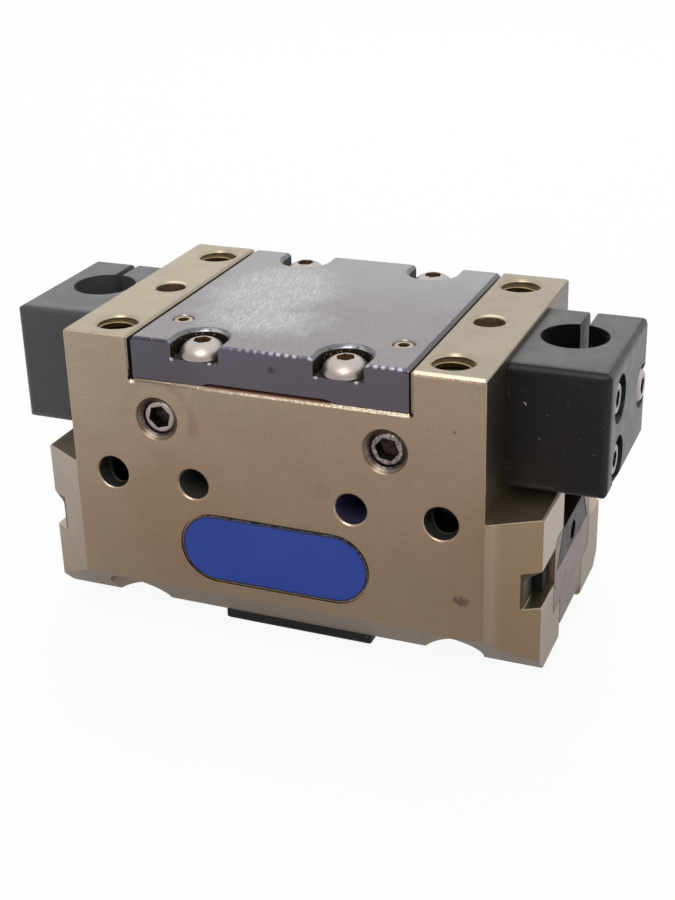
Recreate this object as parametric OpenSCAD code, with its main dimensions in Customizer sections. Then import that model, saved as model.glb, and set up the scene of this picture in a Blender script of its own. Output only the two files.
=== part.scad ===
// Pneumatic two finger parallel gripper, standing on its finger side.
// The origin is the centre of the robot-side face, +X runs along the jaw travel, -Y is the
// front with the air ports, and +Z points at the robot.
// A piston pulls a wedge hook up; the hook's inclined T-rails draw both jaws together.

/* [Housing] */
// Length of the lower block, along the jaw travel
housing_len = 75; // [74.6:0.1:79]
// Depth of the housing, front to back
housing_depth = 42; // [41.8:0.1:46]
// Length of the upper block, between the sensor brackets
upper_len = 61.2; // [60.8:0.1:64]
// Depth of the two ledges below the robot face
ledge_drop = 20.3; // [20:0.1:21]
// Setback of the front and rear corners at the end faces
corner_cut = 3.95; // [2.5:0.05:4.5]
// Leg of the chamfer along the front and rear bottom edges
bottom_chamfer = 6.3; // [4.5:0.1:6.5]
// Break on the outer edges
edge_break = 0.35; // [0.2:0.05:0.5]

/* [Cylinder] */
// Bore of the cylinder
bore_d = 30; // [29:0.1:30.4]
// Travel of the piston
piston_stroke = 7; // [6:0.1:8]
// Thickness of the piston
piston_t = 8.6; // [8.2:0.1:10]
// Diameter of the piston rod
rod_d = 10; // [9:0.1:10.4]
// Thickness of the web between the cylinder and the jaw guide
web_t = 4; // [3.6:0.1:5]
// Section of the rod seal
rod_seal_d = 1.8; // [1.4:0.1:2]
// Section of the piston seal
piston_seal_d = 2.2; // [1.8:0.1:2.6]

/* [Cylinder cover] */
// Width of the cover
cover_w = 40.4; // [40.2:0.1:41.4]
// Thickness of the cover
cover_t = 6.1; // [5.8:0.1:7]
// Distance of the cover's front and rear edges from the housing's faces
cover_setback = 0.3; // [0.1:0.1:0.6]
// Half of the distance between cover screws, along the jaw travel
cover_screw_x = 10.45; // [9.6:0.05:11.4]
// Distance of the cover screws from the housing's front and rear faces
cover_screw_edge = 3.05; // [2.8:0.05:3.3]
// Radius of the pocket round each cover screw, open to the cover's edge
scallop_r = 3.5; // [3.4:0.1:3.9]
// Depth of those pockets
scallop_depth = 2.6; // [2.4:0.1:2.9]
// Head diameter of the cover screws
cover_head_d = 6; // [5.6:0.1:6.3]
// Head height of the cover screws
cover_head_h = 2.2; // [1.8:0.05:2.3]
// Section of the cover seal
cover_seal_d = 1.5; // [1.2:0.1:1.7]
// Width of the pry slots under the cover's front and rear edges
pry_slot_w = 19.2; // [12:0.1:20]
// Height of the pry slots
pry_slot_h = 0.45; // [0.35:0.05:0.8]

/* [Jaw guide] */
// Width of the guide at the jaw flanges
slot_w = 20.6; // [20.2:0.1:21]
// Height of the guide at the jaw flanges
slot_h = 11.1; // [10.8:0.1:12]
// Width of the guide at the jaw necks
neck_w = 12.8; // [12.6:0.1:13.2]
// Thickness of the lips that carry the jaw flanges
lip_h = 6.4; // [6.1:0.1:7.4]
// Rounding of the guide's upper corners
slot_round = 1.4; // [1:0.1:1.8]
// Width of the slots through which the sensors see the cams
sensor_slot_w = 12; // [11:0.1:12.6]
// Distance from the middle to the inner ends of the sensor slots
sensor_slot_x = 28; // [27:0.1:29]
// Depth of the end grooves' upper lips below the robot face
groove_drop = 28; // [27.6:0.1:28.4]
// Height of the end grooves
groove_h = 5.5; // [5:0.1:6]
// Depth of the end grooves
groove_depth = 2.2; // [1.9:0.1:2.6]
// Thickness of the wiper strips
wiper_t = 1.3; // [0.9:0.1:1.6]

/* [Drive] */
// Travel of each jaw
jaw_stroke = 3; // [2.6:0.1:3.2]
// Width of the wedge hook at half height
hook_w = 12.4; // [11.8:0.1:13]
// Reach of the hook's rail necks
rail_neck = 1.6; // [1.5:0.05:2]
// Thickness of the hook's rail heads
rail_head = 2.4; // [2:0.05:2.6]
// Width of the rail necks, front to back
rail_neck_w = 5; // [4:0.1:5.6]
// Width of the rail heads, front to back
rail_head_w = 9.2; // [8.4:0.1:9.6]
// Thread diameter of the screw that clamps the hook to the piston
piston_screw_d = 4; // [3.5:0.1:4]

/* [Jaws] */
// Setback of the finger faces from the housing's underside
jaw_recess = 2.2; // [1.8:0.1:2.6]
// Core diameter of the finger threads
finger_core_d = 4.2; // [3.3:0.1:4.2]
// Depth of the finger threads
finger_thread_depth = 8.5; // [7:0.1:9]
// Distance of the outer finger thread from the jaw's end
finger_edge = 6.5; // [6:0.1:7.5]
// Distance between the finger threads of one jaw
finger_pitch = 12; // [11:0.1:12.5]
// Width of the cam's dovetail channel at its floor
dovetail_w = 17.8; // [17:0.1:18]
// Depth of the dovetail channel
dovetail_depth = 5.1; // [4.6:0.1:5.3]
// Length of the dovetail channel
dovetail_len = 20; // [18:0.1:20.8]
// Length of the switching cam
cam_len = 18; // [14:0.1:18]
// Diameter of the cam's adjusting screw
cam_screw_d = 2.8; // [2:0.1:3]

/* [Mounting holes] */
// Half of the distance between robot-side threads, along the jaw travel
bolt_x = 24.65; // [24.2:0.05:25.4]
// Half of the distance between robot-side threads, front to back
bolt_y = 16; // [15.8:0.1:17]
// Core diameter of the robot-side threads, which through-bolts also pass
bolt_core_d = 5.1; // [4.2:0.1:5.2]
// Mouth of the robot-side threads
bolt_mouth_d = 6.4; // [5.8:0.1:6.8]
// Diameter of the counterbores on the finger side
bolt_head_d = 9; // [8:0.1:9.2]
// Depth of those counterbores
bolt_head_depth = 8; // [6:0.1:9]
// Diameter of the middle pin holes
pin_hole_d = 4.5; // [4:0.1:5]
// Depth of the middle pin holes
pin_hole_depth = 10; // [6:0.1:12]
// Height of the front holes below the robot face
side_hole_drop = 21.2; // [20.8:0.1:22]
// Half of the distance between the outer front holes
side_outer_x = 24.6; // [24:0.1:25.4]
// Diameter of the outer front holes
side_outer_d = 4.8; // [4:0.1:5]
// Half of the distance between the inner front holes
side_inner_x = 11.83; // [11.4:0.01:12.4]
// Diameter of the inner front holes
side_inner_d = 4.5; // [4:0.1:4.8]
// Depth of the outer front holes
side_outer_depth = 9; // [7:0.1:10]
// Depth of the inner front holes
side_inner_depth = 7.5; // [6:0.1:7.8]

/* [Air ports] */
// Half of the distance between the front air ports
port_x = 16.85; // [16.6:0.05:17.4]
// Height of the front air ports below the robot face
port_drop = 11.9; // [11.7:0.1:12.3]
// Thread diameter of the front air ports
port_d = 5; // [4.6:0.1:5.2]
// Mouth of the front air ports
port_mouth_d = 6.6; // [6.2:0.1:7]
// Setback of the front plugs from the housing's face
port_plug_setback = 0.9; // [0.8:0.1:1.2]
// Half of the distance between the axial air ports in the cover
axial_x = 16.4; // [16.2:0.05:16.6]
// Distance of the axial air ports from the middle, to the front
axial_y = 11.9; // [11.7:0.1:12.5]
// Thread diameter of the axial air ports
axial_d = 3; // [2.6:0.1:3.2]
// Setback of the axial plugs from the robot face
axial_plug_setback = 0.5; // [0.3:0.1:0.8]
// Diameter of the drilled air passages
passage_d = 2; // [1.6:0.1:2.2]

/* [Name plate] */
// Length of the name plate
plate_len = 28.2; // [26:0.1:29]
// Height of the name plate
plate_h = 10.2; // [9:0.1:10.8]
// Thickness of the name plate
plate_t = 0.4; // [0.3:0.05:0.6]
// Gap round the name plate in its pocket
plate_gap = 0.3; // [0.2:0.05:0.4]
// Height of the name plate's centre below the robot face
plate_drop = 30.8; // [30.2:0.1:31.2]

/* [Sensor brackets] */
// Reach of the brackets from the upper block
bracket_reach = 13.8; // [13.4:0.1:15]
// Width of the brackets, front to back
bracket_w = 23.6; // [23.2:0.1:25]
// Height of the brackets
bracket_h = 18.05; // [17.6:0.05:18.4]
// Depth of the brackets' tops below the robot face
bracket_drop = 1.15; // [0.8:0.05:1.3]
// Rounding of the brackets' outer edges
bracket_round = 1.4; // [0.6:0.1:1.8]
// Bore that clamps the sensor
sensor_bore_d = 9.4; // [8:0.1:9.4]
// Distance of the sensor bore from the upper block
sensor_bore_reach = 5.9; // [5.7:0.05:6]
// Distance of the sensor bore behind the middle
sensor_bore_y = 0.8; // [0.6:0.1:1]
// Width of the clamping slit
slit_w = 1.2; // [0.8:0.1:1.5]
// Distance of the slit from the upper block
slit_reach = 6.1; // [5.7:0.1:6.6]
// Distance of the fixing screws in front of the middle
fixing_y = 6; // [6:0.1:6.4]
// Depth of the upper fixing screw below the bracket's top
fixing_drop = 5.5; // [5:0.1:6]
// Distance between the fixing screws of one bracket
fixing_pitch = 8.8; // [8:0.1:9]
// Diameter of the recesses for the fixing screws' heads
fixing_recess_d = 6.7; // [6.2:0.1:6.9]
// Depth of the screw recesses
fixing_recess = 3; // [2.4:0.1:3]
// Distance of the clamping screw behind the middle
clamp_y = 8.5; // [8:0.1:8.6]
// Depth of the clamping screw below the bracket's top
clamp_drop = 9.25; // [8.4:0.05:10]
// Diameter of the recess for the clamping screw's head
clamp_recess_d = 6.3; // [6:0.1:6.4]

/* [Dust cover] */
// Length of the dust cover, along the jaw travel
dust_len = 23.2; // [22.6:0.1:24]
// Width of the dust cover, front to back
dust_w = 27.2; // [26.6:0.1:28]
// Thickness of the dust cover
dust_t = 2.5; // [2.2:0.1:3.5]
// Half of the distance between its screws, along the jaw travel
dust_screw_x = 8.4; // [8:0.1:8.6]
// Half of the distance between its screws, front to back
dust_screw_y = 10.4; // [9.8:0.1:10.8]

/* [Screws] */
// Thread diameter of the cover, fixing and clamping screws
screw_d = 3; // [2.6:0.1:3]
// Head diameter of the fixing and clamping screws
screw_head_d = 5.6; // [5.2:0.1:5.8]
// Head height of the fixing and clamping screws
screw_head_h = 1.75; // [1.4:0.05:1.9]
// Length of thread that they bite into
screw_bite = 5.5; // [4:0.1:6]
// Thread diameter of the dust cover's screws
dust_screw_d = 2.5; // [2:0.1:2.6]
// Length of thread that the dust cover's screws bite into
dust_screw_bite = 4.5; // [3:0.1:5]

/* [Hidden] */
$fn = 64;
eps = 0.01;

// Clearances
running_gap = 0.05;      // round fits that move: piston in bore, rod in web
guide_side_gap = 0.1;    // jaw to guide, front and back
guide_gap = 0.04;        // jaw to guide, above and below
rail_gap = 0.12;         // hook rails to jaw slots
hook_face_gap = 0.3;     // hook core to jaw end
hook_side_gap = 0.4;     // hook to guide neck
hook_floor_gap = 0.6;    // hook to dust cover at its lowest
hook_roof_gap = 0.5;     // hook to web at its highest
piston_end_gap = 0.65;   // piston to each end of the bore
seal_gap = 0.04;         // seals to the surface they slide on
thread_gap = 0.02;       // drawn screws to drawn threads
shank_gap = 0.15;        // screws to clearance holes
cover_side_gap = 0.35;   // cover to channel walls
channel_break = 0.3;     // bevel on the channel's upper edges
cam_gap = 0.3;           // cam to dovetail walls
cam_roof_gap = 0.1;      // cam to web
wiper_gap = 0.3;         // wipers to jaws
wiper_setback = 4.1;     // wipers to the housing's corners

// Housing, from the robot face down
housing_x = housing_len / 2;
housing_y = housing_depth / 2;
upper_x = upper_len / 2;
channel_z = -cover_t;
bore_depth = piston_t + piston_stroke + 2 * piston_end_gap;
bore_floor_z = channel_z - bore_depth;
slot_roof_z = bore_floor_z - web_t;
slot_floor_z = slot_roof_z - slot_h;
bottom_z = slot_floor_z - lip_h;
ledge_z = -ledge_drop;
groove_roof_z = -groove_drop;
groove_floor_z = groove_roof_z - groove_h;
groove_x = housing_x - groove_depth;
groove_bevel = 0.7;      // bevel on the grooves' upper lips, seen from the front
groove_bevel_len = 1.5;
groove_round = 0.5;

// Drive
wedge = jaw_stroke / piston_stroke;
hook_low_z = bottom_z + hook_floor_gap;
hook_top_z = slot_roof_z - hook_roof_gap - piston_stroke;
hook_mid_z = (hook_low_z + hook_top_z) / 2;
hook_depth = neck_w - 2 * hook_side_gap;
piston_low_z = bore_floor_z + piston_end_gap;
piston_top_z = piston_low_z + piston_t;
piston_r = bore_d / 2 - running_gap;
piston_shoulder = 1.6;   // height of the steps that keep the air ports clear
piston_shoulder_in = 1.5;
seal_room = 0.4;         // what a seal groove is wider than its seal
spigot_r = 3;            // centres the hook on the rod
spigot_h = 3;
screw_head_socket_r = 3.5;   // head of the piston screw
screw_head_socket_h = 4;
head_sink = 0.6;             // that head stands below the piston's top

// Jaws, drawn for the right side
jaw_low_z = bottom_z + jaw_recess;
jaw_top_z = slot_roof_z - guide_gap;
flange_z = slot_floor_z + guide_gap;
flange_y = slot_w / 2 - guide_side_gap;
jaw_neck_y = neck_w / 2 - guide_side_gap;
finger_x = housing_x - finger_edge;
dovetail_z = jaw_top_z - dovetail_depth;
dovetail_slope = tan(30);
cam_top_z = slot_roof_z - cam_roof_gap;
cam_screw_z = dovetail_z + cam_screw_d / 2 + 0.6;
cam_screw_setback = 0.6;

// Cover and its pieces
cover_y = housing_y - cover_setback;
cover_screw_y = housing_y - cover_screw_edge;
cover_seal_r = bore_d / 2 + cover_seal_d / 2 + 1.2;
axial_plug_len = 4;
port_plug_len = 4.5;
passage_end_y = -axial_y + 2.3;

// Sensor brackets, drawn for the right side
bracket_x = upper_x + bracket_reach;
bracket_top_z = -bracket_drop;
bracket_low_z = bracket_top_z - bracket_h;
sensor_x = upper_x + sensor_bore_reach;
slit_x = upper_x + slit_reach;
fixing_z = [for (i = [0:1]) bracket_top_z - fixing_drop - i * fixing_pitch];
clamp_z = bracket_top_z - clamp_drop;
clamp_recess = 2;
clamp_bite = 4.6;

// Hex sockets, across the flats
socket_small = 1.5;
socket_screw = 2;
socket_port = 2.5;
socket_piston = 3;

// Points on an arc round [x, y], from one angle to another
function arc(x, y, r, from, to, steps = 8) =
    [for (i = [0:steps]) let (a = from + (to - from) * i / steps)
        [x + r * cos(a), y + r * sin(a)]];

// The same points mirrored in the second axis, in reverse order
function mirrored(points) =
    [for (i = [len(points) - 1:-1:0]) [-points[i][0], points[i][1]]];

// Half width of the hook's core at a height
function hook_x(z) = hook_w / 2 + (z - hook_mid_z) * wedge;

module along_x(from, length) {
    translate([from, 0, 0]) rotate([90, 0, 90]) linear_extrude(length) children();
}

module along_y(depth) {
    rotate([90, 0, 0]) linear_extrude(depth, center = true) children();
}

module left_and_right() {
    children();
    mirror([1, 0, 0]) children();
}

module four_corners() {
    for (sx = [-1, 1], sy = [-1, 1]) mirror([sx < 0 ? 1 : 0, 0, 0])
        mirror([0, sy < 0 ? 1 : 0, 0]) children();
}

// A round cut that starts at a point of the front face and runs inwards
module from_front(x, z, d, depth, start = 0) {
    translate([x, -housing_y + start, z]) rotate([-90, 0, 0])
        translate([0, 0, -eps]) cylinder(h = depth + eps, d = d);
}

// A 45 degree mouth of a given diameter on a hole, pointing up from the origin
module mouth(mouth_d, hole_d) {
    deep = (mouth_d - hole_d) / 2;
    translate([0, 0, -deep]) cylinder(h = deep + eps, d1 = hole_d, d2 = mouth_d + 2 * eps);
}

module front_mouth(x, z, mouth_d, hole_d) {
    translate([x, -housing_y, z]) rotate([90, 0, 0]) mouth(mouth_d, hole_d);
}

// A straight drilling between two points
module drilling(from, to, d) {
    way = to - from;
    reach = norm(way);
    translate(from)
        rotate([0, acos(way[2] / reach), atan2(way[1], way[0])]) cylinder(h = reach, d = d);
}

module hex_socket(across, depth) {
    translate([0, 0, -depth]) cylinder(h = depth + eps, d = across / cos(30), $fn = 6);
}

// A button head screw, its seat at the origin and its shank down
module button_screw(shank_len, head_d = screw_head_d, head_h = screw_head_h) {
    crown = head_h * 0.75;
    difference() {
        union() {
            translate([0, 0, -shank_len])
                cylinder(h = shank_len + eps, d = screw_d - 2 * thread_gap);
            rotate_extrude() polygon(concat(
                [[0, 0], [head_d / 2 - 0.15, 0], [head_d / 2, 0.15]],
                [for (i = [0:6]) let (a = i * 12)
                    [head_d / 2 * cos(a), head_h - crown + crown * sin(a) / sin(72)]],
                [[0, head_h]]));
        }
        translate([0, 0, head_h]) hex_socket(socket_screw, head_h * 0.7);
    }
}

// A set screw, its outer end at the origin and its point down
module set_screw(d, length, socket) {
    difference() {
        union() {
            translate([0, 0, -length + 0.3]) cylinder(h = length - 0.5, d = d);
            translate([0, 0, -0.2]) cylinder(h = 0.2, d1 = d, d2 = d - 0.4);
            translate([0, 0, -length]) cylinder(h = 0.3, d1 = d - 0.6, d2 = d);
        }
        hex_socket(socket, length * 0.45);
    }
}

module ring(centre_r, section_d) {
    rotate_extrude() translate([centre_r, 0]) circle(d = section_d);
}

// Outline of the guide from front to back, open to the underside
module guide_outline() {
    corner = [slot_w / 2 - slot_round, slot_roof_z - slot_round];
    right = concat(
        [[neck_w / 2, bottom_z - 1], [neck_w / 2, slot_floor_z], [slot_w / 2, slot_floor_z]],
        arc(corner[0], corner[1], slot_round, 0, 90));
    polygon(concat(right, mirrored(right)));
}

// The housing seen from the front, with its ledges and end grooves
module front_outline() {
    right = [
        [housing_x - edge_break, bottom_z],
        [housing_x, bottom_z + edge_break],
        [housing_x, groove_floor_z],
        [groove_x, groove_floor_z],
        [groove_x, groove_roof_z - groove_bevel - groove_round],
        [groove_x + groove_round, groove_roof_z - groove_bevel],
        [housing_x - groove_bevel_len, groove_roof_z - groove_bevel],
        [housing_x, groove_roof_z],
        [housing_x, ledge_z - edge_break],
        [housing_x - edge_break, ledge_z],
        [upper_x, ledge_z],
        [upper_x, -edge_break],
        [upper_x - edge_break, 0]
    ];
    polygon(concat(right, mirrored(right)));
}

// The housing seen from the end, with its bottom chamfers
module end_outline() {
    right = [
        [housing_y - bottom_chamfer, bottom_z],
        [housing_y, bottom_z + bottom_chamfer],
        [housing_y, -edge_break],
        [housing_y - edge_break, 0]
    ];
    polygon(concat(right, mirrored(right)));
}

// The housing seen from above, with its oblique corners
module plan_outline() {
    right = [
        [upper_x, -housing_y],
        [housing_x, -housing_y + corner_cut],
        [housing_x, housing_y - corner_cut],
        [upper_x, housing_y]
    ];
    polygon(concat(right, mirrored(right)));
}

module housing_blank() {
    intersection() {
        along_y(housing_depth) front_outline();
        along_x(-housing_x, housing_len) end_outline();
        translate([0, 0, bottom_z]) linear_extrude(-bottom_z) plan_outline();
    }
}

module cover_channel() {
    channel_x = cover_w / 2 + cover_side_gap;
    corner_relief_d = 0.7;
    bevelled_x = channel_x + channel_break;
    along_y(housing_depth + 2) polygon([
        [-channel_x, channel_z], [channel_x, channel_z], [channel_x, -channel_break],
        [bevelled_x + 1, 1], [-bevelled_x - 1, 1], [-channel_x, -channel_break]]);
    for (x = [-channel_x, channel_x])
        translate([x, 0, channel_z]) rotate([90, 0, 0])
            cylinder(h = housing_depth + 2, d = corner_relief_d, center = true);
}

module cylinder_cuts() {
    translate([0, 0, bore_floor_z]) cylinder(h = bore_depth + 1, d = bore_d);
    translate([0, 0, slot_roof_z - 1])
        cylinder(h = web_t + 2, d = rod_d + 2 * running_gap);
    translate([0, 0, slot_roof_z + web_t / 2 - (rod_seal_d + seal_room) / 2])
        cylinder(h = rod_seal_d + seal_room, d = rod_d + 2 * rod_seal_d + 2 * seal_gap);
}

module sensor_slots() {
    slot_len = housing_x - sensor_slot_x + 1;
    left_and_right() {
        translate([sensor_slot_x, -sensor_slot_w / 2, slot_roof_z - 1])
            cube([slot_len, sensor_slot_w, ledge_z - slot_roof_z + 1]);
        translate([upper_x, -sensor_slot_w / 2, slot_roof_z - 1])
            cube([slot_len, sensor_slot_w, ledge_z - slot_roof_z + 2]);
    }
}

module robot_bolt_cuts() {
    four_corners() translate([bolt_x, bolt_y, 0]) {
        translate([0, 0, bottom_z - 1]) cylinder(h = 2 - bottom_z, d = bolt_core_d);
        mouth(bolt_mouth_d, bolt_core_d);
        translate([0, 0, bottom_z - 1]) cylinder(h = bolt_head_depth + 1, d = bolt_head_d);
    }
    left_and_right() translate([bolt_x, 0, 0]) {
        translate([0, 0, -pin_hole_depth]) cylinder(h = pin_hole_depth + 1, d = pin_hole_d);
        mouth(pin_hole_d + 0.4, pin_hole_d);
    }
}

module side_hole_cuts() {
    left_and_right() {
        from_front(side_outer_x, -side_hole_drop, side_outer_d, side_outer_depth);
        front_mouth(side_outer_x, -side_hole_drop, side_outer_d + 0.4, side_outer_d);
        from_front(side_inner_x, -side_hole_drop, side_inner_d, side_inner_depth);
        front_mouth(side_inner_x, -side_hole_drop, side_inner_d + 0.5, side_inner_d);
    }
}

// Front ports, their shoulders, the axial ports and the drillings to both ends of the bore
module air_cuts() {
    port_z = -port_drop;
    shoulder_d = port_d - 0.8;
    wall = bore_d / 2 - 1;
    turn = atan2(-axial_y + 1, port_x);
    left_and_right() {
        from_front(port_x, port_z, port_d, port_plug_setback + port_plug_len);
        front_mouth(port_x, port_z, port_mouth_d, port_d);
        from_front(port_x, port_z, shoulder_d, passage_end_y + housing_y);
        translate([axial_x, -axial_y, port_z])
            cylinder(h = port_drop - cover_t + 1, d = passage_d);
    }
    start_right = [port_x, passage_end_y - 1.2, port_z];
    drilling(start_right,
        [wall * cos(turn), wall * sin(turn), piston_low_z + piston_shoulder / 2], passage_d);
    start_left = [-port_x, passage_end_y - 1.2, port_z];
    drilling(start_left,
        [-wall * cos(turn), wall * sin(turn), channel_z - passage_d / 2], passage_d);
}

module plate_outline(gap = 0) {
    r = plate_h / 2 + gap;
    reach = (plate_len - plate_h) / 2;
    union() {
        for (x = [-reach, reach]) translate([x, 0]) circle(r = r);
        square([2 * reach, 2 * r], center = true);
    }
}

module name_plate_pocket() {
    translate([0, -housing_y + plate_t, -plate_drop]) rotate([90, 0, 0])
        linear_extrude(plate_t + 1) plate_outline(plate_gap);
}

module screw_thread_cuts() {
    four_corners() translate([cover_screw_x, cover_screw_y, channel_z - screw_bite - 0.5])
        cylinder(h = screw_bite + 1.5, d = screw_d);
    left_and_right() for (z = fixing_z)
        translate([upper_x - screw_bite - 0.5, -fixing_y, z]) rotate([0, 90, 0])
            cylinder(h = screw_bite + 1.5, d = screw_d);
    four_corners() translate([dust_screw_x, dust_screw_y, bottom_z - 1])
        cylinder(h = dust_screw_bite + 1.4, d = dust_screw_d);
}

module housing() {
    color([0.58, 0.5, 0.4]) difference() {
        housing_blank();
        along_x(-housing_x - 1, housing_len + 2) guide_outline();
        cover_channel();
        cylinder_cuts();
        sensor_slots();
        robot_bolt_cuts();
        side_hole_cuts();
        air_cuts();
        name_plate_pocket();
        screw_thread_cuts();
    }
}

module cylinder_cover() {
    top_break = 0.25;
    color([0.55, 0.56, 0.57]) difference() {
        intersection() {
            along_x(-cover_w / 2, cover_w) polygon([
                [-cover_y, channel_z], [cover_y, channel_z], [cover_y, -top_break],
                [cover_y - top_break, 0], [top_break - cover_y, 0], [-cover_y, -top_break]]);
            along_y(2 * cover_y) polygon([
                [-cover_w / 2, channel_z], [cover_w / 2, channel_z], [cover_w / 2, -top_break],
                [cover_w / 2 - top_break, 0], [top_break - cover_w / 2, 0],
                [-cover_w / 2, -top_break]]);
        }
        four_corners() translate([cover_screw_x, cover_screw_y, 0]) {
            scallop();
            translate([0, 0, channel_z - 1]) cylinder(h = cover_t + 2, d = screw_d + 2 * shank_gap);
        }
        left_and_right() translate([axial_x, -axial_y, 0]) {
            translate([0, 0, -axial_plug_setback - axial_plug_len])
                cylinder(h = axial_plug_setback + axial_plug_len + 1, d = axial_d);
            translate([0, 0, channel_z - 1]) cylinder(h = cover_t, d = passage_d);
            mouth(axial_d + 0.5, axial_d);
        }
        for (side = [-1, 1]) pry_slot(side);
        seal_seat();
    }
}

// Pocket that runs out to the cover's edge, its upper edge broken
module scallop() {
    broken = 0.3;
    run = 5;
    translate([0, 0, -scallop_depth]) linear_extrude(scallop_depth + 1) union() {
        circle(r = scallop_r);
        translate([-scallop_r, 0]) square([2 * scallop_r, run]);
    }
    translate([0, 0, -broken])
        cylinder(h = 2 * broken, r1 = scallop_r, r2 = scallop_r + 2 * broken);
    translate([0, run / 2, 0]) along_y(run) polygon([
        [-scallop_r, -broken], [scallop_r, -broken],
        [scallop_r + 2 * broken, broken], [-scallop_r - 2 * broken, broken]]);
}

// A long low slot under the cover's front or rear edge, cut from the side with a round cutter
module pry_slot(side) {
    cutter_r = 2.1;
    deep = 2;
    travel = pry_slot_w / 2 - sqrt(cutter_r * cutter_r - pow(cutter_r - pry_slot_h, 2));
    translate([0, side * cover_y, channel_z + pry_slot_h - cutter_r]) along_y(2 * deep) union() {
        square([2 * travel, 2 * cutter_r], center = true);
        for (x = [-travel, travel]) translate([x, 0]) circle(r = cutter_r);
    }
}

module seal_seat() {
    half = (cover_seal_d + seal_room) / 2;
    translate([0, 0, channel_z - 1]) difference() {
        cylinder(h = cover_seal_d + 1, r = cover_seal_r + half);
        translate([0, 0, -1]) cylinder(h = cover_seal_d + 3, r = cover_seal_r - half);
    }
}

module cover_seal() {
    color([0.1, 0.1, 0.1]) translate([0, 0, channel_z + cover_seal_d / 2])
        ring(cover_seal_r, cover_seal_d);
}

module cover_screws() {
    color([0.75, 0.74, 0.7]) four_corners()
        translate([cover_screw_x, cover_screw_y, -scallop_depth])
            button_screw(cover_t - scallop_depth + screw_bite, cover_head_d, cover_head_h);
}

module cover_port_plugs() {
    color([0.65, 0.6, 0.5]) left_and_right()
        translate([axial_x, -axial_y, -axial_plug_setback])
            set_screw(axial_d - 2 * thread_gap, axial_plug_len, socket_small);
}

module front_port_plugs() {
    color([0.7, 0.68, 0.64]) left_and_right()
        translate([port_x, -housing_y + port_plug_setback, -port_drop]) rotate([90, 0, 0])
            set_screw(port_d - 2 * thread_gap, port_plug_len, socket_port);
}

module name_plate() {
    color([0.15, 0.27, 0.65]) translate([0, -housing_y + plate_t, -plate_drop])
        rotate([90, 0, 0]) linear_extrude(plate_t) plate_outline();
}

module rod_seal() {
    seat_r = rod_d / 2 + rod_seal_d + seal_gap;
    inner_r = rod_d / 2 + seal_gap;
    color([0.1, 0.1, 0.1]) translate([0, 0, slot_roof_z + web_t / 2])
        ring((seat_r + inner_r - eps) / 2, seat_r - inner_r - eps);
}

module dust_cover() {
    lower_break = 0.4;
    color([0.17, 0.17, 0.17]) difference() {
        intersection() {
            along_x(-dust_len / 2, dust_len) dust_section(dust_w / 2, lower_break);
            along_y(dust_w) dust_section(dust_len / 2, lower_break);
        }
        four_corners() translate([dust_screw_x, dust_screw_y, bottom_z - dust_t]) {
            translate([0, 0, -1]) cylinder(h = dust_t + 2, d = dust_screw_d + 2 * shank_gap);
            translate([0, 0, -eps]) cylinder(h = dust_screw_d / 2 + 0.4,
                d1 = 2 * dust_screw_d - 0.2, d2 = dust_screw_d - 0.6);
        }
    }
}

module dust_section(half, lower_break) {
    polygon([[-half, bottom_z], [half, bottom_z], [half, bottom_z - dust_t + lower_break],
        [half - lower_break, bottom_z - dust_t], [lower_break - half, bottom_z - dust_t],
        [-half, bottom_z - dust_t + lower_break]]);
}

module dust_cover_screws() {
    sink = 0.25;
    head_d = 2 * dust_screw_d - 0.7;
    head_h = (head_d - dust_screw_d) / 2;
    color([0.6, 0.6, 0.6]) four_corners()
        translate([dust_screw_x, dust_screw_y, bottom_z - dust_t + sink]) difference() {
            union() {
                cylinder(h = head_h, d1 = head_d, d2 = dust_screw_d - 2 * thread_gap);
                cylinder(h = dust_t - sink + dust_screw_bite, d = dust_screw_d - 2 * thread_gap);
            }
            translate([0, 0, 0.9]) hex_socket(socket_small, 1);
        }
}

// Prism with all its outer edges rounded, reaching into the housing, where it is cut flat
module bracket_block() {
    inside = 2 * bracket_round;
    size = [bracket_reach + inside, bracket_w, bracket_h];
    middle = [upper_x - inside + size[0] / 2, 0, bracket_top_z - bracket_h / 2];
    intersection() {
        translate(middle) linear_extrude(size[2], center = true)
            rounded_square([size[0], size[1]], bracket_round);
        translate(middle) rotate([90, 0, 0]) linear_extrude(size[1], center = true)
            rounded_square([size[0], size[2]], bracket_round);
        translate(middle) rotate([90, 0, 90]) linear_extrude(size[0], center = true)
            rounded_square([size[1], size[2]], bracket_round);
        translate([upper_x, -bracket_w, bracket_low_z - 1])
            cube([bracket_reach + 1, 2 * bracket_w, bracket_h + 2]);
    }
}

module rounded_square(size, r) {
    union() {
        square([size[0] - 2 * r, size[1]], center = true);
        square([size[0], size[1] - 2 * r], center = true);
        for (x = [-1, 1], y = [-1, 1])
            translate([x * (size[0] / 2 - r), y * (size[1] / 2 - r)]) circle(r = r);
    }
}

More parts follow.
